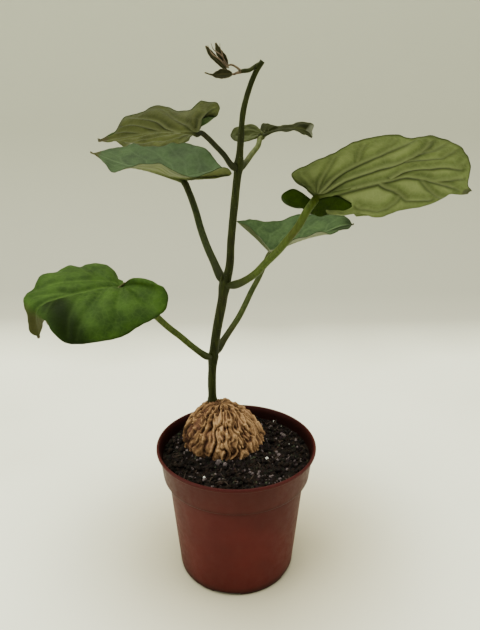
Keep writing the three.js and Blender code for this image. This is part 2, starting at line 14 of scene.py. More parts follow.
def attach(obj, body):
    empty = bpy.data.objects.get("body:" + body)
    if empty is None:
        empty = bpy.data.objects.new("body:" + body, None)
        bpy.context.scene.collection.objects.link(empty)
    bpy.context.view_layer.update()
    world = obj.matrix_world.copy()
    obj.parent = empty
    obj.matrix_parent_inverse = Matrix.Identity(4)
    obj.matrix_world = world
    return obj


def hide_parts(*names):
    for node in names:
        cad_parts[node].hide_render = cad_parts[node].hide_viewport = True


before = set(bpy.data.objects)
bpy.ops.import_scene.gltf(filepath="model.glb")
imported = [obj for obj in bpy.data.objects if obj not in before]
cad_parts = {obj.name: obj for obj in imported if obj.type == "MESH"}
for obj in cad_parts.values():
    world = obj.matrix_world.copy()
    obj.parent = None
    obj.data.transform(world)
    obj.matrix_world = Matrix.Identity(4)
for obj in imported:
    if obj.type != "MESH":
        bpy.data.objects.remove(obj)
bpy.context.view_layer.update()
mm = 0.001
turn = 2 * math.pi
leafMarks = ("vein", "crease", "rim", "tip", "puff", "shade")  # the attributes that leafSkin reads


def linear(hexColour):  # an sRGB hex colour as the linear values that Blender takes
    channels = [int(hexColour[i:i + 2], 16) / 255 for i in (1, 3, 5)]
    return tuple(c / 12.92 if c <= 0.04045 else ((c + 0.055) / 1.055) ** 2.4 for c in channels) + (1,)


def mix(a, b, t):
    return a + (b - a) * t


def ease(low, high, x):  # from 0 at low to 1 at high, smoothly
    t = min(max((x - low) / (high - low), 0), 1)
    return t * t * (3 - 2 * t)


def polar(reach, angle):
    return reach * math.cos(angle), reach * math.sin(angle)


def listed(values, share):  # the value of an even list at a share of its length
    at = min(max(share, 0), 1) * (len(values) - 1)
    i = min(int(at), len(values) - 2)
    return mix(values[i], values[i + 1], at - i)


def smoothPath(points):  # a curve through points in millimetres, read by the share of its length
    knots = [Vector(p) * mm for p in points]
    knots = [2 * knots[0] - knots[1], *knots, 2 * knots[-1] - knots[-2]]
    dense = []
    for a, b, c, d in zip(knots, knots[1:], knots[2:], knots[3:]):
        ab, bc, cd = [(q - p).length ** 0.5 for p, q in ((a, b), (b, c), (c, d))]
        leave = ((b - a) / ab - (c - a) / (ab + bc) + (c - b) / bc) * bc
        arrive = ((c - b) / bc - (d - b) / (bc + cd) + (d - c) / cd) * bc
        for t in (k / 16 for k in range(16)):
            dense.append(b + leave * t + (3 * (c - b) - 2 * leave - arrive) * t ** 2
                         + (2 * (b - c) + leave + arrive) * t ** 3)
    dense.append(knots[-2])
    reach = [0]
    for p, q in zip(dense, dense[1:]):
        reach.append(reach[-1] + (q - p).length)

    def at(share):
        want = min(max(share, 0), 1) * reach[-1]
        i = min(bisect_right(reach, want), len(reach) - 1) - 1
        return dense[i].lerp(dense[i + 1], (want - reach[i]) / (reach[i + 1] - reach[i]))
    return at


def placedGrid(bm, columns, rows, place):
    # a grid whose crossings are moved to place(vertex, column, row), with their shares as the UV map
    made = bmesh.ops.create_grid(bm, x_segments=columns, y_segments=rows, size=1)["verts"]
    uv = bm.loops.layers.uv.verify()
    for face in {f for v in made for f in v.link_faces}:
        for loop in face.loops:
            loop[uv].uv = ((loop.vert.co.x + 1) / 2, (loop.vert.co.y + 1) / 2)
        face.smooth = True
    for v in made:
        v.co = place(v, round((v.co.x + 1) / 2 * columns), round((v.co.y + 1) / 2 * rows))
    bmesh.ops.remove_doubles(bm, verts=made, dist=1e-6)


def addTube(bm, at, radiusAt, sides, rings, groove=0, marks=None):
    # a round bar along a path, closed at both ends, with a shallow groove on its upper side; marks
    # gives the value of each attribute at a share of its length
    marks = marks or {}
    layers = {key: bm.verts.layers.float[key] for key in marks}
    shares = [0] + [k / (rings - 2) for k in range(rings - 1)] + [1]
    centres = [at(s) for s in shares]
    spokes = []
    spoke = Vector((0, 0, 1))
    for s in shares:
        along = (at(min(s + 0.01, 1)) - at(max(s - 0.01, 0))).normalized()
        spoke = (spoke - along * spoke.dot(along)).normalized()
        spokes.append((spoke, along.cross(spoke)))

    def place(v, side, ring):
        angle = turn * side / sides
        radius = radiusAt(shares[ring]) * mm * (0 < ring < rings)
        radius *= 1 - groove * math.exp(-(2 * min(angle, turn - angle)) ** 2)
        for key, value in marks.items():
            v[layers[key]] = value(shares[ring])
        up, across = spokes[ring]
        return centres[ring] + (up * math.cos(angle) + across * math.sin(angle)) * radius

    placedGrid(bm, sides, rings, place)


def addBars(bm, bars, sides, rings):  # tubes, each by its points and the radii along them
    for points, radii in bars:
        addTube(bm, smoothPath(points), lambda share: listed(radii, share), sides, rings)


def addObject(name, data):
    made = bpy.data.objects.new(name, data)
    bpy.context.scene.collection.objects.link(made)
    return made


def meshObject(name, bm, materials=(), smooth=True):
    mesh = bpy.data.meshes.new(name)
    bm.to_mesh(mesh)
    bm.free()
    for face in mesh.polygons:
        face.use_smooth = smooth
    for entry in materials:
        mesh.materials.append(entry)
    return addObject(name, mesh)


def addPiece(name, bm, materials, slot, node=None):
    # makes a piece of the mesh, on the part's one body, in place of its CAD node
    piece = meshObject(name, bm, materials)
    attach(piece, "root")
    if node:
        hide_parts(node)
    return piece


def outward(bm):
    bmesh.ops.recalc_face_normals(bm, faces=bm.faces)


def addNode(tree, kind, settings=None, inputs=None):
    # adds a node, with its settings and its sockets' values or links
    node = tree.nodes.new("ShaderNode" + kind)
    for key, value in (settings or {}).items():
        setattr(node, key, value)
    for key, value in (inputs or {}).items():
        if isinstance(value, bpy.types.NodeSocket):
            tree.links.new(value, node.inputs[key])
        else:
            node.inputs[key].default_value = value
    return node


def newMaterial(name, inputs):
    # a material of one Principled shader with its constant values; returns its tree, the shader
    # and the place on the object too
    material = bpy.data.materials.new(name)
    material.use_nodes = True
    tree = material.node_tree
    tree.nodes.clear()
    shader = addNode(tree, "BsdfPrincipled", inputs=inputs)
    addNode(tree, "OutputMaterial", inputs={0: shader.outputs[0]})
    return material, tree, shader, addNode(tree, "TexCoord").outputs["Object"]


def attribute(tree, name):
    return addNode(tree, "Attribute", {"attribute_name": name}).outputs["Fac"]


def maths(tree, operation, *values):
    return addNode(tree, "Math", {"operation": operation}, dict(enumerate(values))).outputs[0]


def drawnOut(tree, place, share):  # a place whose noise is drawn out along Z
    return addNode(tree, "Mapping", inputs={"Vector": place, "Scale": (1, 1, share)}).outputs[0]


def heightOf(tree, place):  # in metres
    return addNode(tree, "SeparateXYZ", inputs={0: place}).outputs["Z"]


def noiseAt(tree, place, size, detail, roughness=0.5):  # its size in millimetres
    inputs = {"Vector": place, "Scale": 1 / (size * mm), "Detail": detail, "Roughness": roughness}
    return addNode(tree, "TexNoise", inputs=inputs).outputs["Fac"]


def cells(tree, place, size, output, feature="F1"):  # their size in millimetres
    return addNode(tree, "TexVoronoi", {"feature": feature},
                   {"Vector": place, "Scale": 1 / (size * mm)}).outputs[output]


def between(tree, value, low, high, start=0, end=1, curve="LINEAR"):
    # goes from start to end while the value goes from low to high
    inputs = {"Value": value, "From Min": low, "From Max": high, "To Min": start, "To Max": end}
    return addNode(tree, "MapRange", {"interpolation_type": curve}, inputs).outputs[0]


def ramp(tree, value, stops):  # the tone or the strength at a value
    node = addNode(tree, "ValToRGB", inputs={0: value})
    elements = node.color_ramp.elements
    while len(elements) < len(stops):
        elements.new(0.5)
    for element, (position, tone) in zip(elements, stops):
        element.position = position
        element.color = linear(tone) if isinstance(tone, str) else (tone, tone, tone, 1)
    return node.outputs[0]


def paint(tree, shader, colour, *coats):
    # gives the shader its colour under coats of an amount and a tone, each over the last
    for amount, tone in coats:
        coat = addNode(tree, "Mix", {"data_type": "RGBA"}, {0: amount, 6: colour, 7: linear(tone)})
        colour = coat.outputs[2]
    tree.links.new(colour, shader.inputs["Base Color"])


def roughen(tree, shader, height, strength, depth):  # a bump, its depth in millimetres
    bump = addNode(tree, "Bump", inputs={"Strength": strength, "Distance": depth * mm,
                                         "Height": height})
    tree.links.new(bump.outputs[0], shader.inputs["Normal"])


def leafSkin(name, look):
    # Living leaf, a waxy skin over soft tissue: nearly matt, mottled, with a faint net of fine
    # veins that cuts it into small fields, painted light on the swollen fields, painted shade in
    # patches, main veins with painted shade on their lower side, and a thin darker border.
    material, tree, shader, place = newMaterial(name, {
        "IOR": 1.4, "Sheen Weight": look["down"], "Specular IOR Level": look["shine"]})
    vein, crease, rim, tip, puff, shade = [attribute(tree, key) for key in leafMarks]
    clouds = noiseAt(tree, place, 9, 4, 0.6)
    edges = cells(tree, place, 2.6, "Distance", "DISTANCE_TO_EDGE")  # of fields between fine veins
    net = between(tree, edges, 0, 0.12, look["netShow"], 0)
    ragged = maths(tree, "MULTIPLY_ADD", clouds, 0.5, tip)
    paint(tree, shader, ramp(tree, clouds, [(0.34, look["deep"]), (0.64, look["light"])]),
          # painted light on the swollen fields between the veins
          (between(tree, puff, 0.3, 1, 0, look["puffShow"]), look["vein"]),
          (net, look["vein"]),
          # painted shade: in the leaf's patches, then in the creases under the veins
          (maths(tree, "MULTIPLY", shade, 0.9), look["flank"]),
          (maths(tree, "MULTIPLY", crease, look["creaseShow"]), look["flank"]),
          (maths(tree, "MULTIPLY", vein, look["veinShow"]), look["vein"]),
          (between(tree, rim, 0.955, 1, 0, 0.6), look["border"]),
          (between(tree, ragged, 0.85, 1.25), look["dry"]))
    gloss = between(tree, clouds, 0, 1, look["rough"] - 0.08, look["rough"] + 0.08)
    tree.links.new(gloss, shader.inputs["Roughness"])
    pores = noiseAt(tree, place, 1.1, 3)
    relief = maths(tree, "MULTIPLY_ADD", net, look["netRelief"], pores)
    roughen(tree, shader, relief, 0.5, 0.4)
    return material


def greenStem(name, dark, light, blush, foot="#1c1f09", rib=None):
    # Young green stem, a thin waxy skin with fine down: satin, with long streaks of two greens and
    # a reddish-brown blush, small pale specks, and a darker foot where it leaves an older stem. Under
    # a blade, where it is the midrib, it turns to the blade's own colour.
    material, tree, shader, place = newMaterial(name, {"IOR": 1.4, "Specular IOR Level": 0.12,
                                                       "Roughness": 0.6})
    streaks = noiseAt(tree, drawnOut(tree, place, 0.15), 1.2, 3)
    specks = cells(tree, place, 1.6, "Distance")
    paint(tree, shader, ramp(tree, streaks, [(0.35, dark), (0.68, light)]),
          (between(tree, noiseAt(tree, place, 14, 2), 0.5, 0.72, 0, 0.6), blush),
          (between(tree, specks, 0, 0.2, 0.35, 0), light),
          (attribute(tree, "foot"), foot),
          (attribute(tree, "rib"), rib or dark))
    roughen(tree, shader, streaks, 0.4, 0.3)
    return material


def corkyBark():
    # Cork bark that grew and cracked: dead matt, dark brown in the cracks, tan on the plates and
    # palest on the highest ridges. The height attribute is 0 deep in a crack, 1 on a ridge, and is
    # lowered by painted shade on the flanks and the left, and toward the soil and round the crown.
    material, tree, shader, place = newMaterial("corky_bark", {
        "IOR": 1.4, "Roughness": 0.88, "Specular IOR Level": 0.1})
    grain = noiseAt(tree, place, 1.4, 5, 0.65)
    height = maths(tree, "MULTIPLY_ADD", grain, 0.5, attribute(tree, "height"))
    bark = [(0.4, "#28190f"), (0.58, "#4c3422"), (0.8, "#785a3c"), (1.0, "#a2805a")]
    paint(tree, shader, ramp(tree, height, bark),
          (between(tree, noiseAt(tree, place, 9, 2), 0.52, 0.7, 0, 0.45), "#6f4a3c"),  # pinkish
          (between(tree, height, 1.08, 1.3, 0, 0.7), "#b39672"))  # palest on the highest ridges
    roughen(tree, shader, grain, 0.7, 0.6)
    return material


def pottingSoil():
    # Moist peat with fine bark: near black and matt, with damp glints, brown fibre and a few
    # greenish and purplish crumbs.
    material, tree, shader, place = newMaterial("potting_soil", {"IOR": 1.4,
                                                                 "Specular IOR Level": 0.15})
    tone = ramp(tree, cells(tree, place, 1.6, "Color"), [
        (0.2, "#080403"), (0.45, "#120a06"), (0.62, "#23170f"), (0.74, "#11140b"),
        (0.86, "#1f1017"), (0.97, "#3d2e24")])
    grain = noiseAt(tree, place, 0.6, 4)
    mottled = addNode(tree, "Mix", {"data_type": "RGBA"},
                      {0: between(tree, grain, 0, 1, 0.35, 1), 6: linear("#060302"), 7: tone})
    paint(tree, shader, mottled.outputs[2])
    tree.links.new(between(tree, grain, 0.35, 0.7, 0.6, 0.95), shader.inputs["Roughness"])
    roughen(tree, shader, grain, 0.8, 0.6)
    return material


def dryGrain(name, dark, light, roughness):
    # Perlite, bark fines, peat fibre, moss and plant hair: dry and chalky, in two tones, with
    # pitted faces.
    material, tree, shader, place = newMaterial(name, {"IOR": 1.45, "Roughness": roughness})
    pits = noiseAt(tree, place, 0.7, 3)
    paint(tree, shader, ramp(tree, pits, [(0.35, dark), (0.6, light)]))
    roughen(tree, shader, pits, 0.5, 0.4)
    return material


def potPlastic():
    # Polypropylene, injection moulded and coloured right through: a satin skin with a slight
    # orange peel, faint scuffs and dried water marks. Painted shade darkens the inner wall, the foot,
    # the body toward the collar and the step under the collar.
    material, tree, shader, place = newMaterial("pot_plastic", {"IOR": 1.3,
                                                                "Specular IOR Level": 0.22})
    height = heightOf(tree, place)
    body = ramp(tree, noiseAt(tree, place, 30, 3), [(0.35, "#401210"), (0.65, "#4a1614")])
    drips = noiseAt(tree, drawnOut(tree, place, 0.3), 6, 4, 0.6)
    # painted shade in a band under the collar's step
    collarShade = ramp(tree, maths(tree, "MULTIPLY", height, 10),  # stops are tenths of a metre
                [(0.55, 0.0), (0.585, 0.25), (0.603, 0.35), (0.62, 0.0)])
    paint(tree, shader, body,
          (between(tree, drips, 0.52, 0.8, 0, 0.18), "#552a22"),  # dried water marks
          (between(tree, height, 1.5 * mm, 5 * mm, 0.85, 0), "#240d08"),  # painted shade at the foot
          (between(tree, height, 40 * mm, 66 * mm, 0, 0.45), "#280b09"),  # painted shade, deeper toward the collar
          (attribute(tree, "inside"), "#180604"),  # painted shade on the inner wall
          (collarShade, "#160503"))  # painted shade under the collar's step
    gloss = between(tree, noiseAt(tree, place, 4, 5, 0.7), 0.3, 0.75, 0.42, 0.62)
    tree.links.new(gloss, shader.inputs["Roughness"])
    roughen(tree, shader, noiseAt(tree, place, 1.1, 2), 0.12, 0.2)
    return material


def studioPaper(name, tones):
    # Matt coated paper: palest on the floor, painted shade darkening it up the wall, a painted warm
    # shadow round the pot's foot and a dark painted contact shadow where it stands.
    material, tree, shader, place = newMaterial(name, {"Roughness": 0.8, "Specular IOR Level": 0.2})
    uneven = maths(tree, "MULTIPLY_ADD", noiseAt(tree, place, 250, 2), 0.02, heightOf(tree, place))
    fromShadowMiddle = addNode(tree, "VectorMath", {"operation": "DISTANCE"}, {0: place, 1: (0.008, 0.014, 0)})
    reach = addNode(tree, "VectorMath", {"operation": "LENGTH"}, {0: place})
    contactShadow = ramp(tree, maths(tree, "MULTIPLY", reach.outputs["Value"], 10),  # tenths of a metre
                   [(0.31, 1.0), (0.345, 0.12), (0.44, 0.04), (0.65, 0.0)])
    paint(tree, shader, ramp(tree, uneven, tones),
          # a painted warm shadow round the pot
          (between(tree, fromShadowMiddle.outputs["Value"], 0.02, 0.16, 0.95, 0, "SMOOTHERSTEP"), "#c9c0a3"),
          # and a painted contact shadow where it stands
          (contactShadow, "#2a251d"))
    return material


# The studio: a pale sheet of paper that curves up behind, a soft lamp above and two at the sides
studio = {
    "tones": [  # of the paper, by height, with painted shade darkening it up the wall
        (0.01, "#f8f9e6"), (0.017, "#e4e4cf"), (0.036, "#adab9a"), (0.06, "#a1a090"),
        (0.5, "#9c9d8a"),
    ],
    "sheet": {"front": -1.2, "wall": 0.5, "top": 1.6, "bend": 0.25, "bendSteps": 24, "width": 4.0},
    "camera": {"place": (0.0021, -0.269, 0.241), "tilt": 71.8, "lens": 30.86, "sensor": 36},
    "lights": [  # place, the point it faces, size in metres, watts, colour
        ((-0.2, 0.14, 1.2), (0, 0, 0.1), 1.4, 32.0, "#fffff2"),
        ((0.75, -0.1, 0.75), (0, 0, 0.12), 0.8, 5.0, "#fdfff6"),
        ((-0.8, -0.35, 0.55), (0, 0, 0.12), 0.8, 5.5, "#f8fff4"),
    ],
    "room": ("#dadbca", 0.96),
}


def paperSweep():
    bm = bmesh.new()
    sheet = studio["sheet"]
    bend, steps = sheet["bend"], sheet["bendSteps"]
    foot = sheet["wall"] - bend
    section = [(sheet["front"], 0), (foot, 0)]
    section += [(foot + bend * math.sin(a), bend - bend * math.cos(a))
                for a in (turn / 4 * k / steps for k in range(1, steps + 1))]
    section.append((sheet["wall"], sheet["top"]))
    path = [bm.verts.new((-sheet["width"] / 2, y, z)) for y, z in section]
    edges = [bm.edges.new(pair) for pair in zip(path, path[1:])]
    made = bmesh.ops.extrude_edge_only(bm, edges=edges)["geom"]
    far = [g for g in made if isinstance(g, bmesh.types.BMVert)]
    bmesh.ops.translate(bm, verts=far, vec=(sheet["width"], 0, 0))
    meshObject("paperSweep", bm, [studioPaper("studio_paper", studio["tones"])])


def softLights():
    for k, (place, target, size, watts, tone) in enumerate(studio["lights"]):
        lamp = bpy.data.lights.new(f"softLight{k}", "AREA")
        lamp.shape, lamp.size, lamp.energy, lamp.color = "DISK", size, watts, linear(tone)[:3]
        holder = addObject(f"softLight{k}", lamp)
        holder.location = place
        holder.rotation_euler = (Vector(target) - Vector(place)).to_track_quat("-Z", "Y").to_euler()
    world = bpy.data.worlds.new("room")
    world.use_nodes = True
    tone, strength = studio["room"]
    background = world.node_tree.nodes["Background"]
    background.inputs["Color"].default_value = linear(tone)
    background.inputs["Strength"].default_value = strength
    bpy.context.scene.world = world


def frontCamera():
    shot = studio["camera"]
    camera = addObject("camera", bpy.data.cameras.new("camera"))
    camera.data.lens, camera.data.sensor_width = shot["lens"], shot["sensor"]
    camera.data.clip_start = 0.01
    camera.location = shot["place"]
    camera.rotation_euler = (math.radians(shot["tilt"]), 0, 0)
    bpy.context.scene.camera = camera


paperSweep()
softLights()
frontCamera()
print("studio done")

# The pot, turned from its outline: radius and height of each point
pot = {
    "outside": [
        (32.4, 0), (33.0, 0.25), (33.5, 0.9), (33.63, 2.3), (33.78, 4.0), (34.8, 15),
        (36.2, 30), (37.55, 45), (38.6, 56.3), (38.85, 59.0), (38.95, 59.35), (39.35, 59.5),
        (41.05, 59.5), (41.45, 59.65), (41.62, 60.1), (43.35, 73.9), (43.6, 74.4), (44.4, 74.75),
        (44.85, 75.05), (45.0, 75.5), (45.0, 76.2), (44.8, 76.7), (44.4, 76.95),
    ],
    "inside": [
        (43.9, 76.9), (43.55, 76.4), (42.5, 73.6), (40.5, 60.5), (39.9, 59.6), (37.6, 57.6),
        (32.0, 3.0), (31.6, 2.35), (31.0, 2.2),
    ],
    "sides": 192,
    "innerShade": (77.2, 75.6),  # painted shade on the inner wall: it starts and is full at these heights
    "drainHole": {"radius": 3, "ring": 22, "depth": 8, "count": 6, "sides": 32},
    "footNotch": {"ring": 33.5, "width": 15, "depth": 2.6, "height": 1.8, "count": 5, "turn": 261},
    "sharpFrom": 50,  # degrees between two faces
}


def potBody():
    bm = bmesh.new()
    floor = pot["inside"][-1][1]
    profile = [(0, 0), *pot["outside"], *pot["inside"], (0, floor)]
    inside = bm.verts.layers.float.new("inside")
    path = [bm.verts.new((r * mm, 0, z * mm)) for r, z in profile]
    for v in path[len(pot["outside"]) + 2:]:  # from under the lip's inner edge
        v[inside] = ease(*pot["innerShade"], v.co.z / mm)
    edges = [bm.edges.new(pair) for pair in zip(path, path[1:])]
    bmesh.ops.spin(bm, geom=[*path, *edges], cent=(0, 0, 0), axis=(0, 0, 1), angle=turn,
                   steps=pot["sides"], use_merge=True)
    bmesh.ops.remove_doubles(bm, verts=bm.verts, dist=1e-6)
    outward(bm)
    return addPiece("potBody", bm, [potPlastic()], "pot_plastic", "pot")


def openFoot(body):
    # cuts the drain holes and the foot's notches, whose boxes stand half under the foot
    cutters = bmesh.new()
    holes, notches = pot["drainHole"], pot["footNotch"]

    def around(settings, k, start=0):
        angle = math.radians(start) + turn * k / settings["count"]
        return Matrix.Rotation(angle, 4, "Z") @ Matrix.Translation((settings["ring"] * mm, 0, 0))

    for k in range(holes["count"]):
        bmesh.ops.create_cone(cutters, cap_ends=True, segments=holes["sides"],
                              radius1=holes["radius"] * mm, radius2=holes["radius"] * mm,
                              depth=holes["depth"] * mm, matrix=around(holes, k))
    for k in range(notches["count"]):
        size = (2 * notches["depth"] * mm, notches["width"] * mm, 2 * notches["height"] * mm)
        bmesh.ops.create_cube(cutters, size=1, matrix=around(notches, k, notches["turn"])
                              @ Matrix.Diagonal((*size, 1)))
    cutter = meshObject("cutters", cutters, smooth=False)
    cut = body.modifiers.new("openings", "BOOLEAN")
    cut.object, cut.operation, cut.solver = cutter, "DIFFERENCE", "EXACT"
    depsgraph = bpy.context.evaluated_depsgraph_get()
    done = bpy.data.meshes.new_from_object(body.evaluated_get(depsgraph))
    body.modifiers.clear()
    body.data = done
    done.set_sharp_from_angle(angle=math.radians(pot["sharpFrom"]))
    bpy.data.objects.remove(cutter)


openFoot(potBody())
print("pot done")

# The tuber: its outline gives the share of its radius and the height of each point
tuber = {
    "centre": (-7, 11), "radius": 23.6, "tilt": 0.06, "widest": 71, "length": 78,
    "profile": [
        (0, 95.6), (0.2, 95.2), (0.4, 93.2), (0.57, 90), (0.73, 85.7), (0.86, 80.8), (0.96, 75.8),
        (1.0, 71), (0.99, 66), (0.92, 61), (0.78, 56.5), (0.55, 53), (0.28, 51), (0, 50),
    ],
    "sides": 400, "rows": 210,
    "bare": {"share": 0.62, "rows": 0.85},  # the part above the soil, with most of the rows
    "marks": {"ridge": 2.0, "wrinkle": 0.9, "crack": 3.2},  # their widths in millimetres
    "stretch": {"ridge": 7.5, "wrinkle": 5.0, "crack": 6.0},  # and how many times longer they are
    "sway": 3.4, "bend": 1.7,  # how far they wander in wide curves and in short ones
    "relief": {"swell": 1.4, "ridge": 1.0, "wrinkle": 0.5, "crack": 1.6},
    "tone": {"ridge": 0.42, "wrinkle": 0.2, "crack": 0.38},  # what each adds to the height attribute
    "pits": [  # place, radius and depth
        ((-9.5, 3.5), 1.6, 1.8), ((-13.0, 2.0), 1.2, 1.4), ((-5.0, 6.0), 1.0, 1.0),
    ],
}


def fromTuber(x, y):  # the distance from the tuber's axis
    return math.dist((x, y), tuber["centre"])


def tuberRelief(spread, reach, run, z):
    # how far the bark stands out in millimetres, and its height from crack to ridge; the ridges
    # run down from the crown, so the noise is drawn out along the run from it
    girth, down = spread * mix(14, reach, 0.25), Vector((0, 0, run))
    sway = [noise.noise(girth * 0.1 + down * 0.06 + Vector((k, 0, 9 * k))) for k in range(3)]
    bend = [noise.noise(girth * 0.25 + down * 0.15 + Vector((0, k, 9 * k))) for k in range(3)]
    sway, bend = Vector(sway) * tuber["sway"], Vector(bend) * tuber["bend"]
    marks = {}
    for key, size in tuber["marks"].items():
        at = (girth + sway + bend + down / tuber["stretch"][key]) / size
        marks[key] = abs(noise.noise(at + Vector((0, 0, 7.7 * size))))
    ridge = 1 - min(1, 2.3 * marks["ridge"])
    wrinkle = 1 - min(1, 2.3 * marks["wrinkle"])
    crack = min(1, 4.2 * marks["crack"]) ** 0.8
    swell = noise.noise(spread * 1.6 + Vector((0, 0, z * 0.03)))
    relief, tone = tuber["relief"], tuber["tone"]
    out = (relief["swell"] * swell + relief["ridge"] * (ridge - 0.45)
           + relief["wrinkle"] * (wrinkle - 0.45) + relief["crack"] * (crack - 0.85))
    return out, tone["ridge"] * ridge + tone["wrinkle"] * wrinkle + tone["crack"] * crack


def tuberBody():
    bm = bmesh.new()
    height = bm.verts.layers.float.new("height")
    path = smoothPath([(r * tuber["radius"], 0, z) for r, z in tuber["profile"]])
    bare, rows = tuber["bare"], tuber["rows"]
    upper = rows * bare["rows"]
    shares = [bare["share"] * k / upper for k in range(int(upper))]
    lower = rows - len(shares)
    shares += [mix(bare["share"], 1, k / lower) for k in range(lower + 1)]

    def place(v, side, row):
        share = shares[row]
        angle = turn * side / tuber["sides"]
        here = path(share)
        along = (path(min(share + 0.01, 1)) - path(max(share - 0.01, 0))).normalized()
        reach, z = here.x / mm, here.z / mm
        spread = Vector((*polar(1, angle), 0))
        out, tone = tuberRelief(spread, reach, share * tuber["length"], z)
        # painted shade on both flanks and on the left, where less light falls; darker also toward the
        # soil and round the crown
        v[height] = (tone + 0.01 - 0.06 * ease(0.1, 0.5, abs(spread.x)) - 0.15 * ease(82, 75, z)
                     - 0.12 * ease(0, -0.7, spread.x) - 0.12 * ease(88, 93, z))
        out *= ease(1, 8, reach) * ease(56, 68, z)  # smooth at the very top and in the soil
        reach -= along.z * out
        z += along.x * out
        lean = tuber["tilt"] * ease(66, 80, z)
        x, y = polar(reach, angle)
        middleX, middleY = tuber["centre"]
        for (pitX, pitY), radius, depth in tuber["pits"]:
            near = math.hypot(middleX + x - pitX, middleY + y - pitY) / radius
            if z > 80 and near < 2:
                z -= depth * math.exp(-near ** 2)
                v[height] = min(v[height], 0.3 + 0.4 * near)
        return Vector((middleX + x - lean * (z - tuber["widest"]), middleY + y, z - lean * x)) * mm

    placedGrid(bm, tuber["sides"], rows, place)
    outward(bm)
    addPiece("tuberBark", bm, [corkyBark()], "corky_bark", "caudex")


tuberBody()
print("tuber done")

# The soil: an uneven bed with crumbs, fibres, bark, moss and a few pale grains lying in it
soil = {
    # grains with a place of their own are x, y and radius; the sizes of the rest lie between two
    "top": 71.5, "grain": 1.5, "fine": 1.1,
    "wall": [(41.6, 70.3), (40.0, 60.5), (37.0, 57.2), (31.3, 2.6), (0, 2.6)],  # radius, height
    "sides": 320, "rings": 74,
    "mound": {"reach": 23, "half": 3.0, "height": 1.6},  # the soil banked up round the tuber
    "clear": 22.5, "rim": 40.5,  # grains lie between these distances from the tuber and the middle
    "crumbs": {"count": 1000, "size": (0.5, 2.0)},
    "fibres": {"count": 90, "length": (2, 6), "arch": (0.4, 1.4), "radius": (0.14, 0.4)},
    "lumps": {"count": 230, "size": (0.35, 1.2)},
    "moss": {"count": 70, "size": (0.4, 1.0)},
    "paleDots": {"count": 7, "size": (0.2, 0.4)},
    "greyLumps": [
        (-9.5, -14.5, 1.7), (-6.0, -15.2, 1.5), (21.0, 25.0, 1.6), (-27.5, -3.0, 1.5),
        (4.0, -19.0, 1.3), (-20.0, -19.0, 1.4), (14.0, -25.0, 1.3), (28.0, 14.0, 1.4),
        (-12.0, -24.0, 1.2), (24.0, -4.0, 1.3),
    ],
    "perlite": [(17.1, -9.1, 1.15), (23.6, 34.6, 0.7), (-16.8, -25.9, 0.85), (30.5, 6.0, 0.55)],
    "skins": {  # dark tone, light tone and roughness
        "peat_fibre": ("#1d140d", "#3b2b1e", 0.85),
        "bark_fines": ("#241b1a", "#5d5050", 0.8),
        "moss_crumbs": ("#12160b", "#2c3418", 0.8),
        "perlite": ("#8f8a80", "#e4e2da", 0.8),
    },
}
rng = random.Random(26)


def soilHeight(x, y):
    coarse = noise.noise(Vector((x / 3.1, y / 3.1, 4.0)))
    coarse += 0.7 * noise.noise(Vector((x / 7, y / 7, 1.0)))
    fine = noise.turbulence(Vector((x / 1.5, y / 1.5, 2.0)), 2, False) - 0.5
    edge = ease(36, 41, math.hypot(x, y))  # lower and calmer by the wall
    bank = soil["mound"]
    mound = bank["height"] * math.exp(-((fromTuber(x, y) - bank["reach"]) / bank["half"]) ** 2)
    return soil["top"] + soil["grain"] * coarse * (1 - 0.5 * edge) + soil["fine"] * fine + mound - edge


def soilBody():
    bm = bmesh.new()
    wall = soil["wall"]
    flat = soil["rings"] - len(wall)

    def place(v, side, ring):
        angle = turn * side / soil["sides"]
        if ring <= flat:
            x, y = polar(wall[0][0] * ring / flat, angle)
            return Vector((x, y, soilHeight(x, y))) * mm
        reach, z = wall[ring - flat - 1]
        return Vector((*polar(reach, angle), z)) * mm

    placedGrid(bm, soil["sides"], soil["rings"], place)
    outward(bm)
    addPiece("soilBed", bm, [earth], "potting_soil", "soil")


def addLump(bm, x, y, size, sink, squash=0.75, detail=1):
    # an uneven grain that lies in the soil's surface, sunk by a share of its height
    made = bmesh.ops.create_icosphere(bm, subdivisions=detail, radius=1)["verts"]
    angle = rng.uniform(0, turn)
    axis = Vector((rng.random(), rng.random(), 0.3)).normalized()
    spin = Matrix.Rotation(angle, 3, axis)
    seed = Vector((rng.uniform(0, 50), rng.uniform(0, 50), 0))
    stretch = Vector((rng.uniform(0.8, 1.3), rng.uniform(0.7, 1.0), squash))
    z = soilHeight(x, y) + size * (1 - 2 * sink) * squash
    for v in made:
        lump = v.co * (1 + 0.45 * noise.noise(v.co * 1.7 + seed))
        v.co = (Vector((x, y, z)) + spin @ (lump * stretch) * size) * mm


def onSoil():  # a place on the soil clear of the tuber and inside the rim
    while True:
        x, y = polar(soil["rim"] * math.sqrt(rng.random()), rng.uniform(0, turn))
        if fromTuber(x, y) > soil["clear"]:
            return x, y


def addFibre(bm):
    fibres = soil["fibres"]
    x, y = onSoil()
    angle, length = rng.uniform(0, turn), rng.uniform(*fibres["length"])
    spots = [(x + far * math.cos(angle), y + far * math.sin(angle))
             for far in (0, 0.5 * length, length)]
    if all(math.hypot(*spot) <= soil["rim"] for spot in spots):
        lifts = 0.1, rng.uniform(*fibres["arch"]), 0.2
        path = smoothPath([(*spot, soilHeight(*spot) + lift) for spot, lift in zip(spots, lifts)])
        radius = rng.uniform(*fibres["radius"])
        addTube(bm, path, lambda share: radius * (1 - 0.4 * share), sides=5, rings=7)


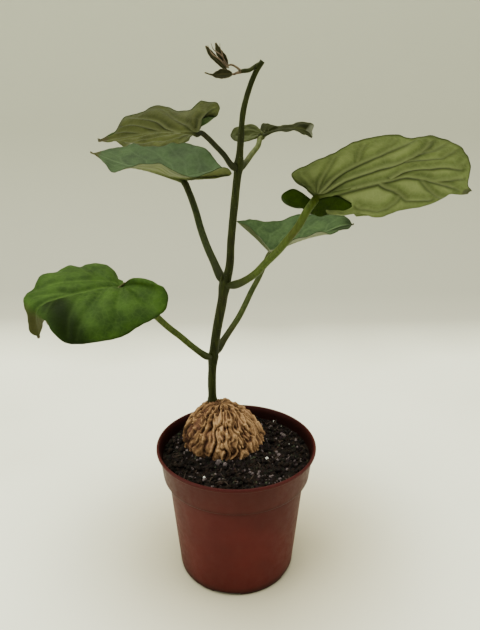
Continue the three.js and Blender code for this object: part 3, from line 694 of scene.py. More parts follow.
def soilGrains():
    crumbs, fibres, lumps, moss, perlite = [bmesh.new() for _ in range(5)]
    for _ in range(soil["crumbs"]["count"]):
        size = mix(*soil["crumbs"]["size"], rng.random() ** 2.2)  # mostly small ones
        addLump(crumbs, *onSoil(), size, rng.uniform(0.2, 0.6))
    for _ in range(soil["fibres"]["count"]):
        addFibre(fibres)
    for x, y, size in soil["greyLumps"]:
        addLump(lumps, x, y, size, 0.4, detail=2)
    for _ in range(soil["lumps"]["count"]):
        addLump(lumps, *onSoil(), mix(*soil["lumps"]["size"], rng.random() ** 1.8),
                rng.uniform(0.3, 0.6))
    for _ in range(soil["moss"]["count"]):
        addLump(moss, *onSoil(), rng.uniform(*soil["moss"]["size"]), rng.uniform(0.3, 0.6))
    for x, y, size in soil["perlite"]:
        addLump(perlite, x, y, size, 0.25, squash=0.85, detail=2)
    for _ in range(soil["paleDots"]["count"]):
        addLump(perlite, *onSoil(), rng.uniform(*soil["paleDots"]["size"]), 0.3, squash=0.85)

    skins = {key: dryGrain(key, *tones) for key, tones in soil["skins"].items()}
    for name, bm, skin in (("soilCrumbs", crumbs, earth), ("soilFibres", fibres, skins["peat_fibre"]),
                           ("barkLumps", lumps, skins["bark_fines"]),
                           ("mossCrumbs", moss, skins["moss_crumbs"]),
                           ("perliteGrains", perlite, skins["perlite"])):
        outward(bm)
        addPiece(name, bm, [skin], "potting_soil")


earth = pottingSoil()  # of the bed and its crumbs
soilBody()
soilGrains()
print("soil done")

# The stem and its nodding tip, each part a path with the radii along it
stem = {
    "path": [
        (-14, 15, 84), (-14, 15, 96.5), (-14, 14, 108.5), (-13, 12.5, 123.5), (-10.7, 11, 140),
        (-7.5, 9.5, 157), (-6, 9, 166.5), (-3.5, 8.5, 176), (-2.5, 8, 190.5), (-1, 8, 206),
        (0.5, 8, 220), (1.5, 8, 228), (2.5, 7, 240), (3.6, 6, 252.5), (6.5, 5, 263), (9.5, 4.5, 270),
        (12.5, 4, 274.5),
    ],
    "radii": [2.35, 2.4, 2.4, 2.45, 2.55, 2.65, 2.45, 2.1, 2, 2.05, 1.95, 1.65, 1.4, 1.3, 1.2],
    "swells": [  # height, extra radius and half length: the foot, the three nodes and their rings
        (95, 0.6, 2.6), (123, 0.5, 4.0), (166.5, 0.75, 4.5), (228, 0.6, 4.0), (124.2, 0.25, 0.7),
        (167.8, 0.25, 0.7), (229, 0.25, 0.7),
    ],
    "shoots": [
        ([(11.5, 4, 273.5), (9.5, 3.5, 272.5), (6.5, 2.5, 270.5), (3.5, 1.5, 270), (1.5, 1, 269.5)],
         [0.9, 0.85, 0.95, 1, 0.8]),
        ([(-6, 8.5, 166.5), (-7.5, 7, 170), (-7, 7, 173)], [0.9, 0.75, 0.2]),
    ],
    "strands": [
        ([(2.5, 1, 270), (0.5, 1, 271.5), (-2, 0.5, 272.5), (-3.5, 0, 272)], [0.6, 0.5, 0.45, 0.35]),
        ([(2.5, 1, 269.5), (0.5, 0.5, 269), (-0.5, 0, 268.5), (-2, 0, 268.5)], [0.7, 0.6, 0.5, 0.4]),
        ([(-3, 0, 271), (-7, -0.5, 274.5), (-10.5, 0, 277), (-12.5, 0.5, 280.5)],
         [0.35, 0.3, 0.28, 0.12]),
        ([(-3.5, 1, 272), (-6.5, 1, 276.5), (-10, 1.5, 279), (-11, 2, 281.5)], [0.35, 0.28, 0.25, 0.1]),
        ([(-5, 2, 273), (-6, 2, 277), (-7, 2, 280), (-7, 2.5, 281.6)], [0.3, 0.28, 0.22, 0.1]),
    ],
    "skin": ("#181c06", "#292e0d", "#221d0b"),  # dark, light and blush
    "strandSkin": ("#43372a", "#6b5a47", "#5b4438"),
    "down": {"count": 520, "length": (0.5, 1.3), "radii": (0.04, 0.01), "onNodes": 0.35,
             "nodes": [0.205, 0.435, 0.76],  # their shares of the path
             "skin": ("#4f5436", "#7d825e", 0.7)},
}


def stemBody():
    bm = bmesh.new()
    path = smoothPath(stem["path"])

    def radius(share):
        here = path(share)
        swollen = sum(extra * math.exp(-((here.z / mm - height) / half) ** 2)
                      for height, extra, half in stem["swells"])
        return listed(stem["radii"], share) + swollen + 0.1 * noise.noise(here * 160)

    addTube(bm, path, radius, sides=24, rings=340)
    addBars(bm, stem["shoots"], sides=12, rings=30)
    outward(bm)
    addPiece("stemBody", bm, [greenStem("young_stem", *stem["skin"])], "green_stem", "stem")


def shootStrands():
    bm = bmesh.new()
    addBars(bm, stem["strands"], sides=10, rings=26)
    outward(bm)
    addPiece("shootStrands", bm, [greenStem("withered_strand", *stem["strandSkin"])], "green_stem",
             "stem")


def downHairs():
    # fine standing hairs on the stem and about its nodes
    bm = bmesh.new()
    path, down = smoothPath(stem["path"]), stem["down"]
    thick, thin = [radius * mm for radius in down["radii"]]
    for _ in range(down["count"]):
        share = rng.uniform(0.07, 1)
        if rng.random() < down["onNodes"]:
            share = rng.choice(down["nodes"]) + rng.uniform(-0.02, 0.02)
        here, ahead = path(share), path(min(share + 0.01, 1))
        along = (ahead - here).normalized() if share < 0.99 else Vector((0, 0, 1))
        side = Vector((rng.uniform(-1, 1), rng.uniform(-1, 1), 0))
        side = (side - along * side.dot(along)).normalized()
        root = here + side * (listed(stem["radii"], share) - 0.1) * mm
        lean = (side + along * rng.uniform(-0.3, 0.5)).normalized()
        length = rng.uniform(*down["length"]) * mm
        turnTo = Vector((0, 0, 1)).rotation_difference(lean).to_matrix().to_4x4()
        place = Matrix.Translation(root + lean * length / 2) @ turnTo
        bmesh.ops.create_cone(bm, cap_ends=True, segments=3, radius1=thick, radius2=thin,
                              depth=length, matrix=place)
    addPiece("stemDown", bm, [dryGrain("plant_hair", *down["skin"])], "green_stem")


stemBody()
shootStrands()
downHairs()
print("stem done")

# The leaves
leaves = {
    # A midrib runs from the petiole to the tip, and each margin from the notch round its lobe to
    # the same tip. Left and right are seen from above. Toward and belly give the way and the
    # amount by which a half swells off the straight. A vein is its strength and its points, each a
    # share along the margin and one across the blade. A shade is a place along the margin, how far
    # it spreads, where across the blade it starts, and its depth.
    "lowerLeft": {
        "node": "leaf_lower_left",
        "dryFrom": 0.7, "ribShow": 0.6,
        "petiole": [
            (-13.5, 12, 123), (-17.5, 5, 128), (-23.5, -3, 136.5), (-28.5, -9, 144),
            (-34, -15, 151.5), (-39, -21, 159.5), (-44.5, -27, 168),
        ],
        "midrib": [
            (-52.5, -33, 176.5), (-59, -37.5, 177.5), (-65, -41.5, 177), (-71, -45, 176.5),
            (-75.5, -48.5, 176), (-80, -52, 175), (-83, -53.5, 172.5), (-85, -52, 166.5),
            (-86, -48, 158),
        ],
        "radii": (1.8, 1.6),
        "left": {
            "margin": [
                (-50, -34, 177.5), (-46.5, -37, 180.5), (-42, -40, 183.2), (-36.5, -44, 183.5),
                (-31.5, -48, 181.1), (-28.5, -50, 178), (-28.6, -52, 173.5), (-32.5, -55, 170),
                (-37.2, -58, 167.2), (-43.1, -61, 164.7), (-50, -65, 163.7), (-59.6, -67, 161.7),
                (-66.5, -66.5, 162.2), (-73.8, -64, 166.4), (-77.5, -60, 168.7), (-80.5, -55, 166.6),
                (-86, -48, 158),
            ],
            "veins": [
                (0.13, [(0.29, 0.03), (0.36, 0.28), (0.435, 0.52), (0.485, 0.75), (0.53, 0.95)]),
                (0.1, [(0.395, 0.02), (0.515, 0.36), (0.585, 0.55), (0.64, 0.75), (0.67, 0.95)]),
                (0.1, [(0.52, 0.02), (0.605, 0.31), (0.66, 0.55), (0.7, 0.9)]),
                (0.16, [(0.27, 0.05), (0.31, 0.35), (0.34, 0.6), (0.34, 0.9)]),
                (0.12, [(0.2, 0.05), (0.27, 0.39), (0.28, 0.68), (0.27, 0.9)]),
                (0.1, [(0.7, 0.02), (0.77, 0.4), (0.8, 0.9)]),
            ],
            "shade": [(0.72, 0.08, -0.3, 0.95), (0.655, 0.045, -0.1, 0.45)],
            "toward": (0, -0.5, 0.85),
            "belly": [0, 2, 4, 5, 4, 1, 0],
        },
        "right": {
            "margin": [
                (-50.5, -31, 177.5), (-53.5, -25, 178), (-57.5, -17, 179.5), (-62, -13, 181.5),
                (-67.9, -13, 184), (-72.4, -15, 184.1), (-75.5, -17, 182.3), (-78.5, -20, 183.5),
                (-82.4, -25, 183), (-86.5, -33, 182.5), (-88.2, -40, 179), (-91, -44, 177.4),
                (-90.2, -49, 173), (-88.6, -51, 168), (-88.8, -50, 162), (-86, -48, 158),
            ],
            "veins": [
                (0.3, [(0.265, 0.12), (0.385, 0.19), (0.47, 0.25), (0.545, 0.35), (0.62, 0.45),
                       (0.685, 0.61), (0.72, 0.85)]),
                (0.12, [(0.32, 0.03), (0.335, 0.11), (0.36, 0.34), (0.37, 0.64), (0.36, 0.95)]),
                (0.1, [(0.13, 0.05), (0.14, 0.5), (0.135, 0.9)]),
                (0.2, [(0.6, 0.02), (0.72, 0.3), (0.8, 0.8)]),
            ],
            "toward": (0, 0, 1),
            "belly": [0, 1, 2, 2, 1, 0, 0],
        },
        "wave": {"height": 0.9, "count": 5, "phase": 0.4},
    },
    "lowerRight": {
        "node": "leaf_lower_right",
        "dryFrom": 0.96,
        "quilting": 0.5,
        "petiole": [
            (-12.5, 12, 124), (-7.5, 20, 130.5), (-3, 25, 136), (1.5, 29, 142), (5.5, 33, 149),
            (9, 37, 155.5), (13, 41, 162), (16.5, 46, 168.5),
        ],
        "midrib": [
            (20, 51, 176), (32, 58, 179.6), (42.5, 63, 182.2), (55.4, 69, 184.8), (65.9, 74, 187.8),
            (74.8, 79, 188.1),
        ],
        "radii": (1.9, 1.5),
        "left": {
            "margin": [
                (18.5, 52, 178.5), (13, 54, 184.4), (6.5, 57, 190.5), (0, 61, 193.5),
                (6.5, 66, 193), (13.5, 71, 191), (22, 76, 191), (29.5, 80, 191), (41, 85, 193.5),
                (53, 87, 194.5), (64, 86, 194), (72.2, 83, 191.5), (74.8, 79, 188.1),
            ],
            "shade": [(0.12, 0.1, -0.3, 0.8), (0.21, 0.06, -0.3, 0.45), (0.97, 0.07, -0.3, 0.9)],
            "toward": (0, 0, -1),
            "belly": [0, 0, 0, 2, 2, 1, 0],
        },
        "right": {
            "margin": [
                (21, 49, 176.5), (25.5, 42, 180), (29.5, 36, 182.5), (33, 33, 186), (37, 34, 188),
                (44, 39, 189), (51.5, 45, 188), (59, 53, 187.5), (66, 62, 187.5), (71.5, 71, 187.4),
                (74.8, 79, 188.1),
            ],
            "shade": [(0.33, 0.14, 0.72, 0.6), (0.82, 0.12, -0.05, 1.0), (0.97, 0.07, -0.3, 0.9)],
            "toward": (0, 0, 1),
            "belly": [0, 0, 0, 0, 0, 0, 0],
        },
        "wave": {"height": 0.8, "count": 4, "phase": 1.8},
    },
    "middleLeft": {
        "node": "leaf_middle_left",
        "dryFrom": 0.9,
        "quilting": 0.35,
        "petiole": [
            (-6, 9, 166.5), (-9, 14, 171), (-12, 19, 176.5), (-15.7, 24, 183.5), (-19.5, 30, 192.5),
            (-22.8, 36, 202.5), (-26.3, 41, 211),
        ],
        "midrib": [
            (-29.5, 46, 218.5), (-37, 49, 220), (-43.5, 52, 221.5), (-53, 56, 223.5),
            (-62.5, 60, 225), (-72.5, 65, 227.5), (-81, 69, 230.5), (-88, 72, 232.5),
        ],
        "radii": (2.2, 1.8),
        "left": {
            "margin": [
                (-27, 44, 217.5), (-21.5, 39, 219), (-16, 34, 220), (-8, 29, 221),
                (-2, 27, 221.7), (-6.5, 24, 225.5), (-14.5, 21, 224.5), (-24, 20, 221.5),
                (-31.5, 20, 223.5), (-39.5, 23, 228.5), (-46.5, 26, 228.5), (-56, 33, 226),
                (-65.5, 41, 224), (-71, 48, 222), (-76.8, 57, 226.5), (-80.7, 65, 229.1),
                (-88, 72, 232.5),
            ],
            "toward": (0, 0, 1),
            "belly": [0, 0, 0, 0, 0, 0, 0],
        },
        "right": {
            "margin": [
                (-25.5, 49, 218), (-17, 53, 220.5), (-8, 59, 224), (-12, 66, 228),
                (-20, 71, 235.5), (-28, 74, 238), (-43.5, 76, 238.5), (-59.5, 79, 238),
                (-73.5, 81, 235.9), (-81.6, 78, 232.5), (-88, 72, 232.5),
            ],
            "toward": (0, 0, -1),
            "belly": [0, 1, 2, 2, 1, 1, 0],
        },
        "wave": {"height": 0.8, "count": 5, "phase": 0.9},
    },
    "middleRight": {
        "node": "leaf_middle_right",
        "dryFrom": 0.96,
        "petiole": [
            (-6, 8, 166), (0, 3, 168.5), (4.5, -3, 172), (10, -11, 178), (14.5, -19, 185),
            (19, -28, 192), (22.5, -36, 198.5), (26.5, -42, 205.5), (29.5, -44.5, 212),
            (32, -42.5, 215),
        ],
        "midrib": [
            (34.5, -38, 217), (45.5, -41, 220.5), (53.5, -44, 223), (62, -48, 225.5),
            (67, -50, 227), (72.5, -52, 226.5), (79, -55, 225), (84.5, -57, 223.5),
            (89, -60, 221.5),
        ],
        "radii": (2.1, 1.6),
        "left": {
            "margin": [
                (32, -37, 216), (28, -34, 214.5), (23.5, -33, 214), (20.2, -34, 215.6),
                (19.4, -38, 218.5), (22.6, -40, 219.9), (27, -41, 219.1), (32, -41.5, 217),
                (38, -41, 217), (44, -40.5, 216.5), (51, -39.5, 214), (50.6, -37.5, 209.5),
                (57.6, -38, 208.7), (64.6, -40, 210.2), (70.5, -42, 212.1), (76, -45, 214.6),
                (82.1, -50, 216.8), (85.1, -55, 220.2), (89, -60, 221.5),
            ],
            "veins": [
                (0.7, [(0.615, 0.01), (0.69, 0.25), (0.715, 0.38), (0.745, 0.58), (0.795, 0.65),
                       (0.84, 0.7)]),
                (0.45, [(0.715, 0.41), (0.695, 0.54), (0.665, 0.64), (0.625, 0.6), (0.58, 0.43),
                        (0.52, 0.29)]),
                (0.4, [(0.8, 0.03), (0.85, 0.4), (0.89, 0.8)]),
                (0.4, [(0.25, 0.05), (0.15, 0.5), (0.12, 0.9)]),
                (0.4, [(0.28, 0.05), (0.3, 0.5), (0.32, 0.9)]),
                (0.4, [(0.3, 0.05), (0.42, 0.5), (0.5, 0.9)]),
            ],
            "toward": (0, 0.3, -0.95),
            "belly": [1, 4, 7, 8.5, 8.5, 5, 1.5, 1, 0.5, 0],
        },
        "right": {
            "margin": [
                (32, -39, 219), (28.6, -42, 221.1), (24.2, -45, 224.1), (22.4, -47, 227.5),
                (24.5, -48, 229.5), (32.5, -50, 233), (38.5, -52, 235.5), (42.5, -54, 238.5),
                (48.5, -58, 240.5), (54.5, -62, 242), (59.3, -64, 242.2), (63.6, -67, 241.2),
                (69, -69, 242), (73.7, -70, 240.2), (81.6, -69, 237.5), (84.9, -67, 233.5),
                (87.4, -63, 226), (89, -60, 221.5),
            ],
            "veins": [
                (0.8, [(0.66, 0.05), (0.69, 0.17), (0.72, 0.22), (0.785, 0.34), (0.855, 0.65),
                       (0.875, 0.8)]),
                (0.5, [(0.855, 0.65), (0.855, 0.9)]),
                (1.0, [(0.29, 0.03), (0.37, 0.16), (0.425, 0.25), (0.54, 0.31), (0.65, 0.45),
                       (0.685, 0.54), (0.7, 0.69), (0.7, 0.82), (0.69, 0.95)]),
                (0.6, [(0.675, 0.45), (0.735, 0.53), (0.78, 0.66), (0.785, 0.84), (0.785, 0.97)]),
                (0.55, [(0.695, 0.61), (0.725, 0.76), (0.735, 0.95)]),
                (0.9, [(0.285, 0.05), (0.355, 0.35), (0.41, 0.46), (0.465, 0.53), (0.495, 0.56),
                       (0.545, 0.64), (0.575, 0.73), (0.605, 0.85), (0.625, 0.97)]),
                (0.5, [(0.465, 0.54), (0.455, 0.8), (0.46, 0.94)]),
                (0.45, [(0.57, 0.73), (0.565, 0.84), (0.57, 0.95)]),
                (0.5, [(0.28, 0.05), (0.285, 0.3), (0.292, 0.48), (0.315, 0.71), (0.335, 0.94)]),
                (0.35, [(0.25, 0.05), (0.2, 0.48), (0.185, 0.8), (0.19, 0.95)]),
                (0.3, [(0.2, 0.05), (0.12, 0.5), (0.09, 0.9)]),
                (0.6, [(0.86, 0.03), (0.89, 0.3), (0.915, 0.75)]),
            ],
            "shade": [(0.2, 0.12, 0.0, 0.25)],
            "toward": (0, 1, 0),
            "belly": [0, 2, 3, 3, 3, 2, 1, 0],
        },
        "wave": {"height": 0.9, "count": 6, "phase": 2.4},
    },
    "upperLeft": {
        "node": "leaf_upper_left",
        "dryFrom": 0.9,
        "petiole": [
            (1, 8, 225.5), (-2.2, 4, 228.3), (-5.5, -1, 233.1), (-9.5, -6, 237.5),
            (-12.7, -10, 240.9), (-15.5, -12.5, 243),
        ],
        "midrib": [
            (-17.5, -14, 243.5), (-25, -18, 244), (-32.5, -23, 244), (-38, -27, 243.5),
            (-46, -31, 242), (-52, -33, 241), (-56.5, -34, 240),
        ],
        "radii": (1.45, 1.2),
        "left": {
            "margin": [
                (-17, -15, 244.5), (-15.6, -19, 247.6), (-11.6, -23, 249.6), (-7.5, -26, 249.7),
                (-5.9, -29, 252.5), (-7.4, -31, 254.9), (-10.5, -32, 255), (-13.5, -34, 255.5),
                (-14.9, -36, 254), (-17.5, -36, 251.5), (-22.5, -38, 251.5), (-26, -40, 252.9),
                (-29.5, -42, 253), (-33.5, -44, 251.9), (-37.5, -45, 250.7), (-41.5, -45, 249.9),
                (-45.2, -43, 247.4), (-48.5, -39, 243.5), (-52.5, -36, 241.9), (-56.5, -34, 240),
            ],
            "veins": [
                (0.6, [(0.3, 0.03), (0.34, 0.09), (0.425, 0.3), (0.495, 0.52), (0.545, 0.7),
                       (0.585, 0.92)]),
                (0.9, [(0.44, 0.01), (0.545, 0.13), (0.61, 0.35), (0.675, 0.53), (0.72, 0.74),
                       (0.74, 0.97)]),
                (0.6, [(0.585, 0.01), (0.675, 0.18), (0.745, 0.4), (0.82, 0.7)]),
                (0.45, [(0.735, 0.01), (0.805, 0.23), (0.865, 0.54)]),
                (0.7, [(0.28, 0.03), (0.315, 0.41), (0.3, 0.7), (0.27, 0.9)]),
                (0.4, [(0.305, 0.66), (0.345, 0.92)]),
            ],
            "shade": [(0.6, 0.3, 0.0, 0.42)],
            "toward": (0, 0.8, 0.6),
            "belly": [0, 1, 2, 2, 2, 1, 0],
        },
        "right": {
            "margin": [
                (-19, -12, 242), (-20.5, -8, 241), (-23, -3, 239.5), (-27.5, 1, 237.5),
                (-31, 1, 239), (-34.5, 0, 238), (-37.5, -2, 236.5), (-42, -6, 237.5),
                (-45.5, -11, 238), (-49, -16, 237.5), (-51.5, -22, 239), (-53.5, -29, 239.5),
                (-56.5, -34, 240),
            ],
            "veins": [
                (0.7, [(0.28, 0.03), (0.3, 0.7), (0.445, 0.73), (0.55, 0.85), (0.62, 0.97)]),
                (0.7, [(0.4, 0.02), (0.45, 0.29), (0.51, 0.6), (0.63, 0.76), (0.755, 0.74)]),
                (0.45, [(0.26, 0.05), (0.23, 0.62), (0.245, 0.92)]),
                (0.5, [(0.6, 0.02), (0.655, 0.29), (0.745, 0.49), (0.845, 0.87)]),
            ],
            "toward": (0, 0.3, 0.9),
            "belly": [0, 1, 2, 2, 1, 1, 0],
        },
        "wave": {"height": 0.7, "count": 5, "phase": 0.2},
    },
    "upperRight": {
        "node": "leaf_upper_right",
        "dryFrom": 0.86,
        "petiole": [
            (1.5, 8, 226), (4.8, 12, 229), (8, 16, 233), (11.3, 20, 237), (12.5, 24, 240.5),
        ],
        "midrib": [
            (13.5, 26, 242.5), (19, 28, 244.5), (24.5, 30, 245.5), (31, 32, 246), (36, 33, 245.5),
            (39.9, 33, 242.5),
        ],
        "radii": (1.5, 1.3),
        "left": {
            "margin": [
                (12.5, 27, 243.5), (11, 28, 246), (7.5, 28, 247.5), (3.5, 27, 247), (-1.5, 25, 245.5),
                (-3, 23, 241.5), (-1, 21, 239), (5, 21, 239), (10.5, 24, 241.5), (13.8, 32, 248),
                (18, 38, 246), (24.5, 42, 247), (30, 43, 247), (33, 42, 248.5), (37.5, 40, 249.3),
                (41.6, 37, 248), (39.9, 33, 242.5),
            ],
            "toward": (0, 0, 1),
            "belly": [0, 0, 0, 1, 1, 1, 0],
        },
        "right": {
            "margin": [
                (14.5, 24, 242), (16.5, 20, 243), (19.5, 17, 244), (24, 16, 244.5),
                (30, 18, 244.5), (34, 21, 243.5), (37.5, 25, 241.5), (40.3, 30, 241.3),
                (39.9, 33, 242.5),
            ],
            "toward": (0, 0, 1),
            "belly": [0, 0, 1, 1, 1, 0, 0],
        },
        "wave": {"height": 0.4, "count": 4, "phase": 1.2},
    },
}
blade = {  # what all blades share
    "lobeShare": 0.28,  # of the margin, round the lobe, served by veins that fan from the petiole
    "leave": [0.05, 0.13, 0.21, 0.28, 0.38, 0.56, 0.76],  # where plain veins leave the midrib
    "arrive": [0.10, 0.25, 0.42, 0.60, 0.76, 0.88, 0.96],  # and where they meet the margin
    "bend": 1.35,  # how much they curve on the way
    "columns": 150, "rows": 54,
    "thickness": 0.42, "veinRelief": 0.75, "veinWidth": 0.7, "veinReach": 3,
    "creaseWidth": 1.1, "creaseFade": 2.2,
    "quilting": 0.95, "quiltReach": 2.4,  # how much the fields swell, and how far from a vein
    "unevenness": {"height": 0.6, "length": 11}, "frill": {"height": 0.5, "length": 4.5},
    "nibble": 0.5,  # how far the margin is eaten in
    "ribEnd": 0.55,  # the share of the midrib under which the stalk runs on
}
sheetDepth = blade["thickness"] + blade["veinRelief"]


def bladeSurface(leaf, half):
    # a half blade's middle sheet, read by the share along its margin and across from the midrib
    spine, margin = smoothPath(leaf["midrib"]), smoothPath(half["margin"])
    toward, wave = Vector(half["toward"]), leaf["wave"]

    def at(share, t):
        foot = max(0, (share - blade["lobeShare"]) / (1 - blade["lobeShare"])) ** 1.1
        ripple = wave["height"] * math.sin(turn * wave["count"] * share + wave["phase"])
        lift = 4 * t * (1 - t) * listed(half["belly"], share) + t ** 3 * ripple
        return spine(foot).lerp(margin(share), t) + toward * lift * mm
    return at


def plainVeins():
    # a fan of veins from the petiole and pairs from the midrib, joined by weak rungs
    veins = []
    for leave, arrive in zip(blade["leave"], blade["arrive"]):
        line = [(mix(leave, arrive, (k / 8) ** blade["bend"]), 0.02 + k / 8.4) for k in range(9)]
        veins.append((0.26, [(share + 0.012 * math.sin(17 * t + 31 * leave), t) for share, t in line]))
    for (_, low), (_, high) in zip(veins, veins[1:]):
        for k in (3, 5, 7):
            middle = mix(low[k][0], high[k][0], 0.5), low[k][1] + 0.05
            veins.append((0.1, [low[k], middle, high[k - 1]]))
    return veins


def veinTree(surface, veins, midrib):
    # points along the midrib and the veins, each with the strength of its vein there
    points = [(surface(mix(blade["lobeShare"], 1, k / 90), 0), midrib * (1.2 - 0.7 * k / 90))
              for k in range(91)]
    for strength, line in veins:
        for (s0, t0), (s1, t1) in zip(line, line[1:]):
            steps = max(2, int((surface(s1, t1) - surface(s0, t0)).length / (0.6 * mm)))
            for k in range(steps):
                share, t = mix(s0, s1, k / steps), mix(t0, t1, k / steps)
                points.append((surface(share, t), strength * (1.25 - 0.75 * t)))
    tree = kdtree.KDTree(len(points))
    for k, (place, _) in enumerate(points):
        tree.insert(place, k)
    tree.balance()
    return tree, [strength for _, strength in points]


def veinMarks(here, tree, strengths):
    # how much a point is on a vein's crest, and how much in the shaded crease under one
    crest = crease = 0
    for spot, k, gap in tree.find_range(here, blade["veinReach"] * mm):
        far = gap / mm
        crest = max(crest, min(1, strengths[k]) * math.exp(-(far / blade["veinWidth"]) ** 2))
        below = (spot.z - here.z) / max(gap, 1e-6)
        off = (far - blade["creaseWidth"]) / blade["creaseWidth"]
        side = max(math.exp(-off ** 2), 0.4 * math.exp(-(far / blade["creaseFade"]) ** 2))
        crease = max(crease, min(1, 1.25 * strengths[k]) * side * ease(-0.4, 0.6, below))
    return crest, crease


def bladeHalf(bm, leaf, half, seed):
    # one half of the sheet, with its marks and its thickness, its margin a little eaten in
    surface = bladeSurface(leaf, half)
    tree, strengths = veinTree(surface, half.get("veins") or plainVeins(), leaf.get("ribShow", 1))
    layers = {name: bm.verts.layers.float[name] for name in leafMarks}
    weights = bm.verts.layers.deform.verify()
    columns, rows = blade["columns"], blade["rows"]

    def place(v, column, row):
        share, t = column / columns, (row / rows) ** 0.95
        here = surface(share, t)
        crest, crease = veinMarks(here, tree, strengths)
        closing = 1 - ease(0.9, 1, share)
        v[layers["vein"]], v[layers["crease"]] = crest * closing, crease * closing
        v[layers["rim"]] = t
        v[layers["tip"]] = ease(leaf["dryFrom"], mix(leaf["dryFrom"], 1, 0.6), share)
        # painted shade in the half's listed patches
        v[layers["shade"]] = sum(
            dark * math.exp(-((share - middle) / spread) ** 2) * ease(near, near + 0.3, t)
            for middle, spread, near, dark in half.get("shade", []))
        gap = tree.find(here)[2] / mm
        v[layers["puff"]] = (1 - math.exp(-(gap / blade["quiltReach"]) ** 2)) * (1 - t ** 4) * closing
        depth = blade["thickness"] * (1 - 0.45 * t ** 8) + blade["veinRelief"] * crest
        v[weights][0] = depth / sheetDepth
        inward = surface(share, 0) - here
        worn = 0.5 + 0.6 * noise.noise(Vector((share * 13, seed, 0)))
        worn += 0.7 * noise.noise(Vector((share * 36, seed, 5)))
        slip = blade["nibble"] * mm * max(0, worn) * t ** 4 * closing
        return here + inward.normalized() * min(slip, 0.3 * inward.length)

    placedGrid(bm, columns, rows, place)


def leafBlade(name, leaf, skins):
    # both halves of the sheet, swollen between the veins and frilled, with the underside added
    bm = bmesh.new()
    for layer in leafMarks:
        bm.verts.layers.float.new(layer)
    bladeHalf(bm, leaf, leaf["right"], seed=3)
    facing = len(bm.faces)
    bladeHalf(bm, leaf, leaf["left"], seed=9)
    bm.faces.ensure_lookup_table()
    bmesh.ops.reverse_faces(bm, faces=bm.faces[:facing])
    bmesh.ops.remove_doubles(bm, verts=bm.verts, dist=2e-6)
    bm.normal_update()
    puff, rim, vein = (bm.verts.layers.float[key] for key in ("puff", "rim", "vein"))
    waves, frill = blade["unevenness"], blade["frill"]
    quilting = leaf.get("quilting", blade["quilting"])
    moves = []
    for v in bm.verts:
        soft = waves["height"] * noise.noise(v.co / (waves["length"] * mm)) * v[rim]
        ruffle = frill["height"] * v[rim] ** 6 * noise.noise(v.co / (frill["length"] * mm))
        lift = quilting * (v[puff] - 0.4) - 0.15 * v[vein] + soft + ruffle
        moves.append(v.normal * (lift + blade["thickness"] / 2) * mm)
    for v, move in zip(bm.verts, moves):
        v.co += move
    piece = addPiece(name + "Blade", bm, skins, leaf["slot"], leaf["node"])
    piece.vertex_groups.new(name="depth")
    thick = piece.modifiers.new("underside", "SOLIDIFY")
    thick.thickness, thick.offset, thick.vertex_group = sheetDepth * mm, -1, "depth"
    thick.material_offset = 1


def leafStalk(name, leaf, skin):
    # the petiole, which runs on under the blade as its midrib and tapers out there
    sides = bladeSurface(leaf, leaf["left"]), bladeSurface(leaf, leaf["right"])
    rib = []
    for foot in (0, 0.05, 0.12, 0.2, 0.3, 0.42, blade["ribEnd"]):
        share = mix(blade["lobeShare"], 1, foot ** (1 / 1.1))
        here, ahead = sides[0](share, 0), sides[0](min(share + 0.03, 1), 0)
        across = sides[0](share, 0.12) - sides[1](share, 0.12)
        face = (ahead - here).cross(across).normalized()
        radius = mix(0.7 * leaf["radii"][1], 0.15, (foot / blade["ribEnd"]) ** 0.75)
        sink = blade["thickness"] / 2 + radius * 0.55 + 0.3 + (0.3 if foot == 0 else 0)
        rib.append(tuple((here - face * sink * mm) / mm))
    path = smoothPath([*leaf["petiole"], *rib])
    dense = [path(k / 100) for k in range(101)]
    base = Vector(rib[0]) * mm
    joint = min(range(101), key=lambda k: (dense[k] - base).length) / 100

    def radius(share):
        if share < joint:  # swollen at the stem, and a little at the blade
            swell = 0.35 * math.exp(-((share - 0.06) / 0.06) ** 2)
            swell += 0.15 * math.exp(-((share - joint) / 0.04) ** 2)
            return (mix(*leaf["radii"], share / joint) + swell) * mix(0.55, 1, ease(0, 0.06, share))
        on = (share - joint) / (1 - joint)
        return mix(leaf["radii"][1] + 0.15, 0.12, min(1, on * 1.1) ** 0.4)

    bm = bmesh.new()
    for key in ("foot", "rib"):
        bm.verts.layers.float.new(key)
    addTube(bm, path, radius, sides=18, rings=150, groove=0.16,
            marks={"foot": lambda share: 0.9 * ease(0.3, 0.02, share),
                   "rib": lambda share: ease(joint - 0.01, joint + 0.05, share)})
    outward(bm)
    addPiece(name + "Stalk", bm, [skin], leaf["slot"], leaf["node"])


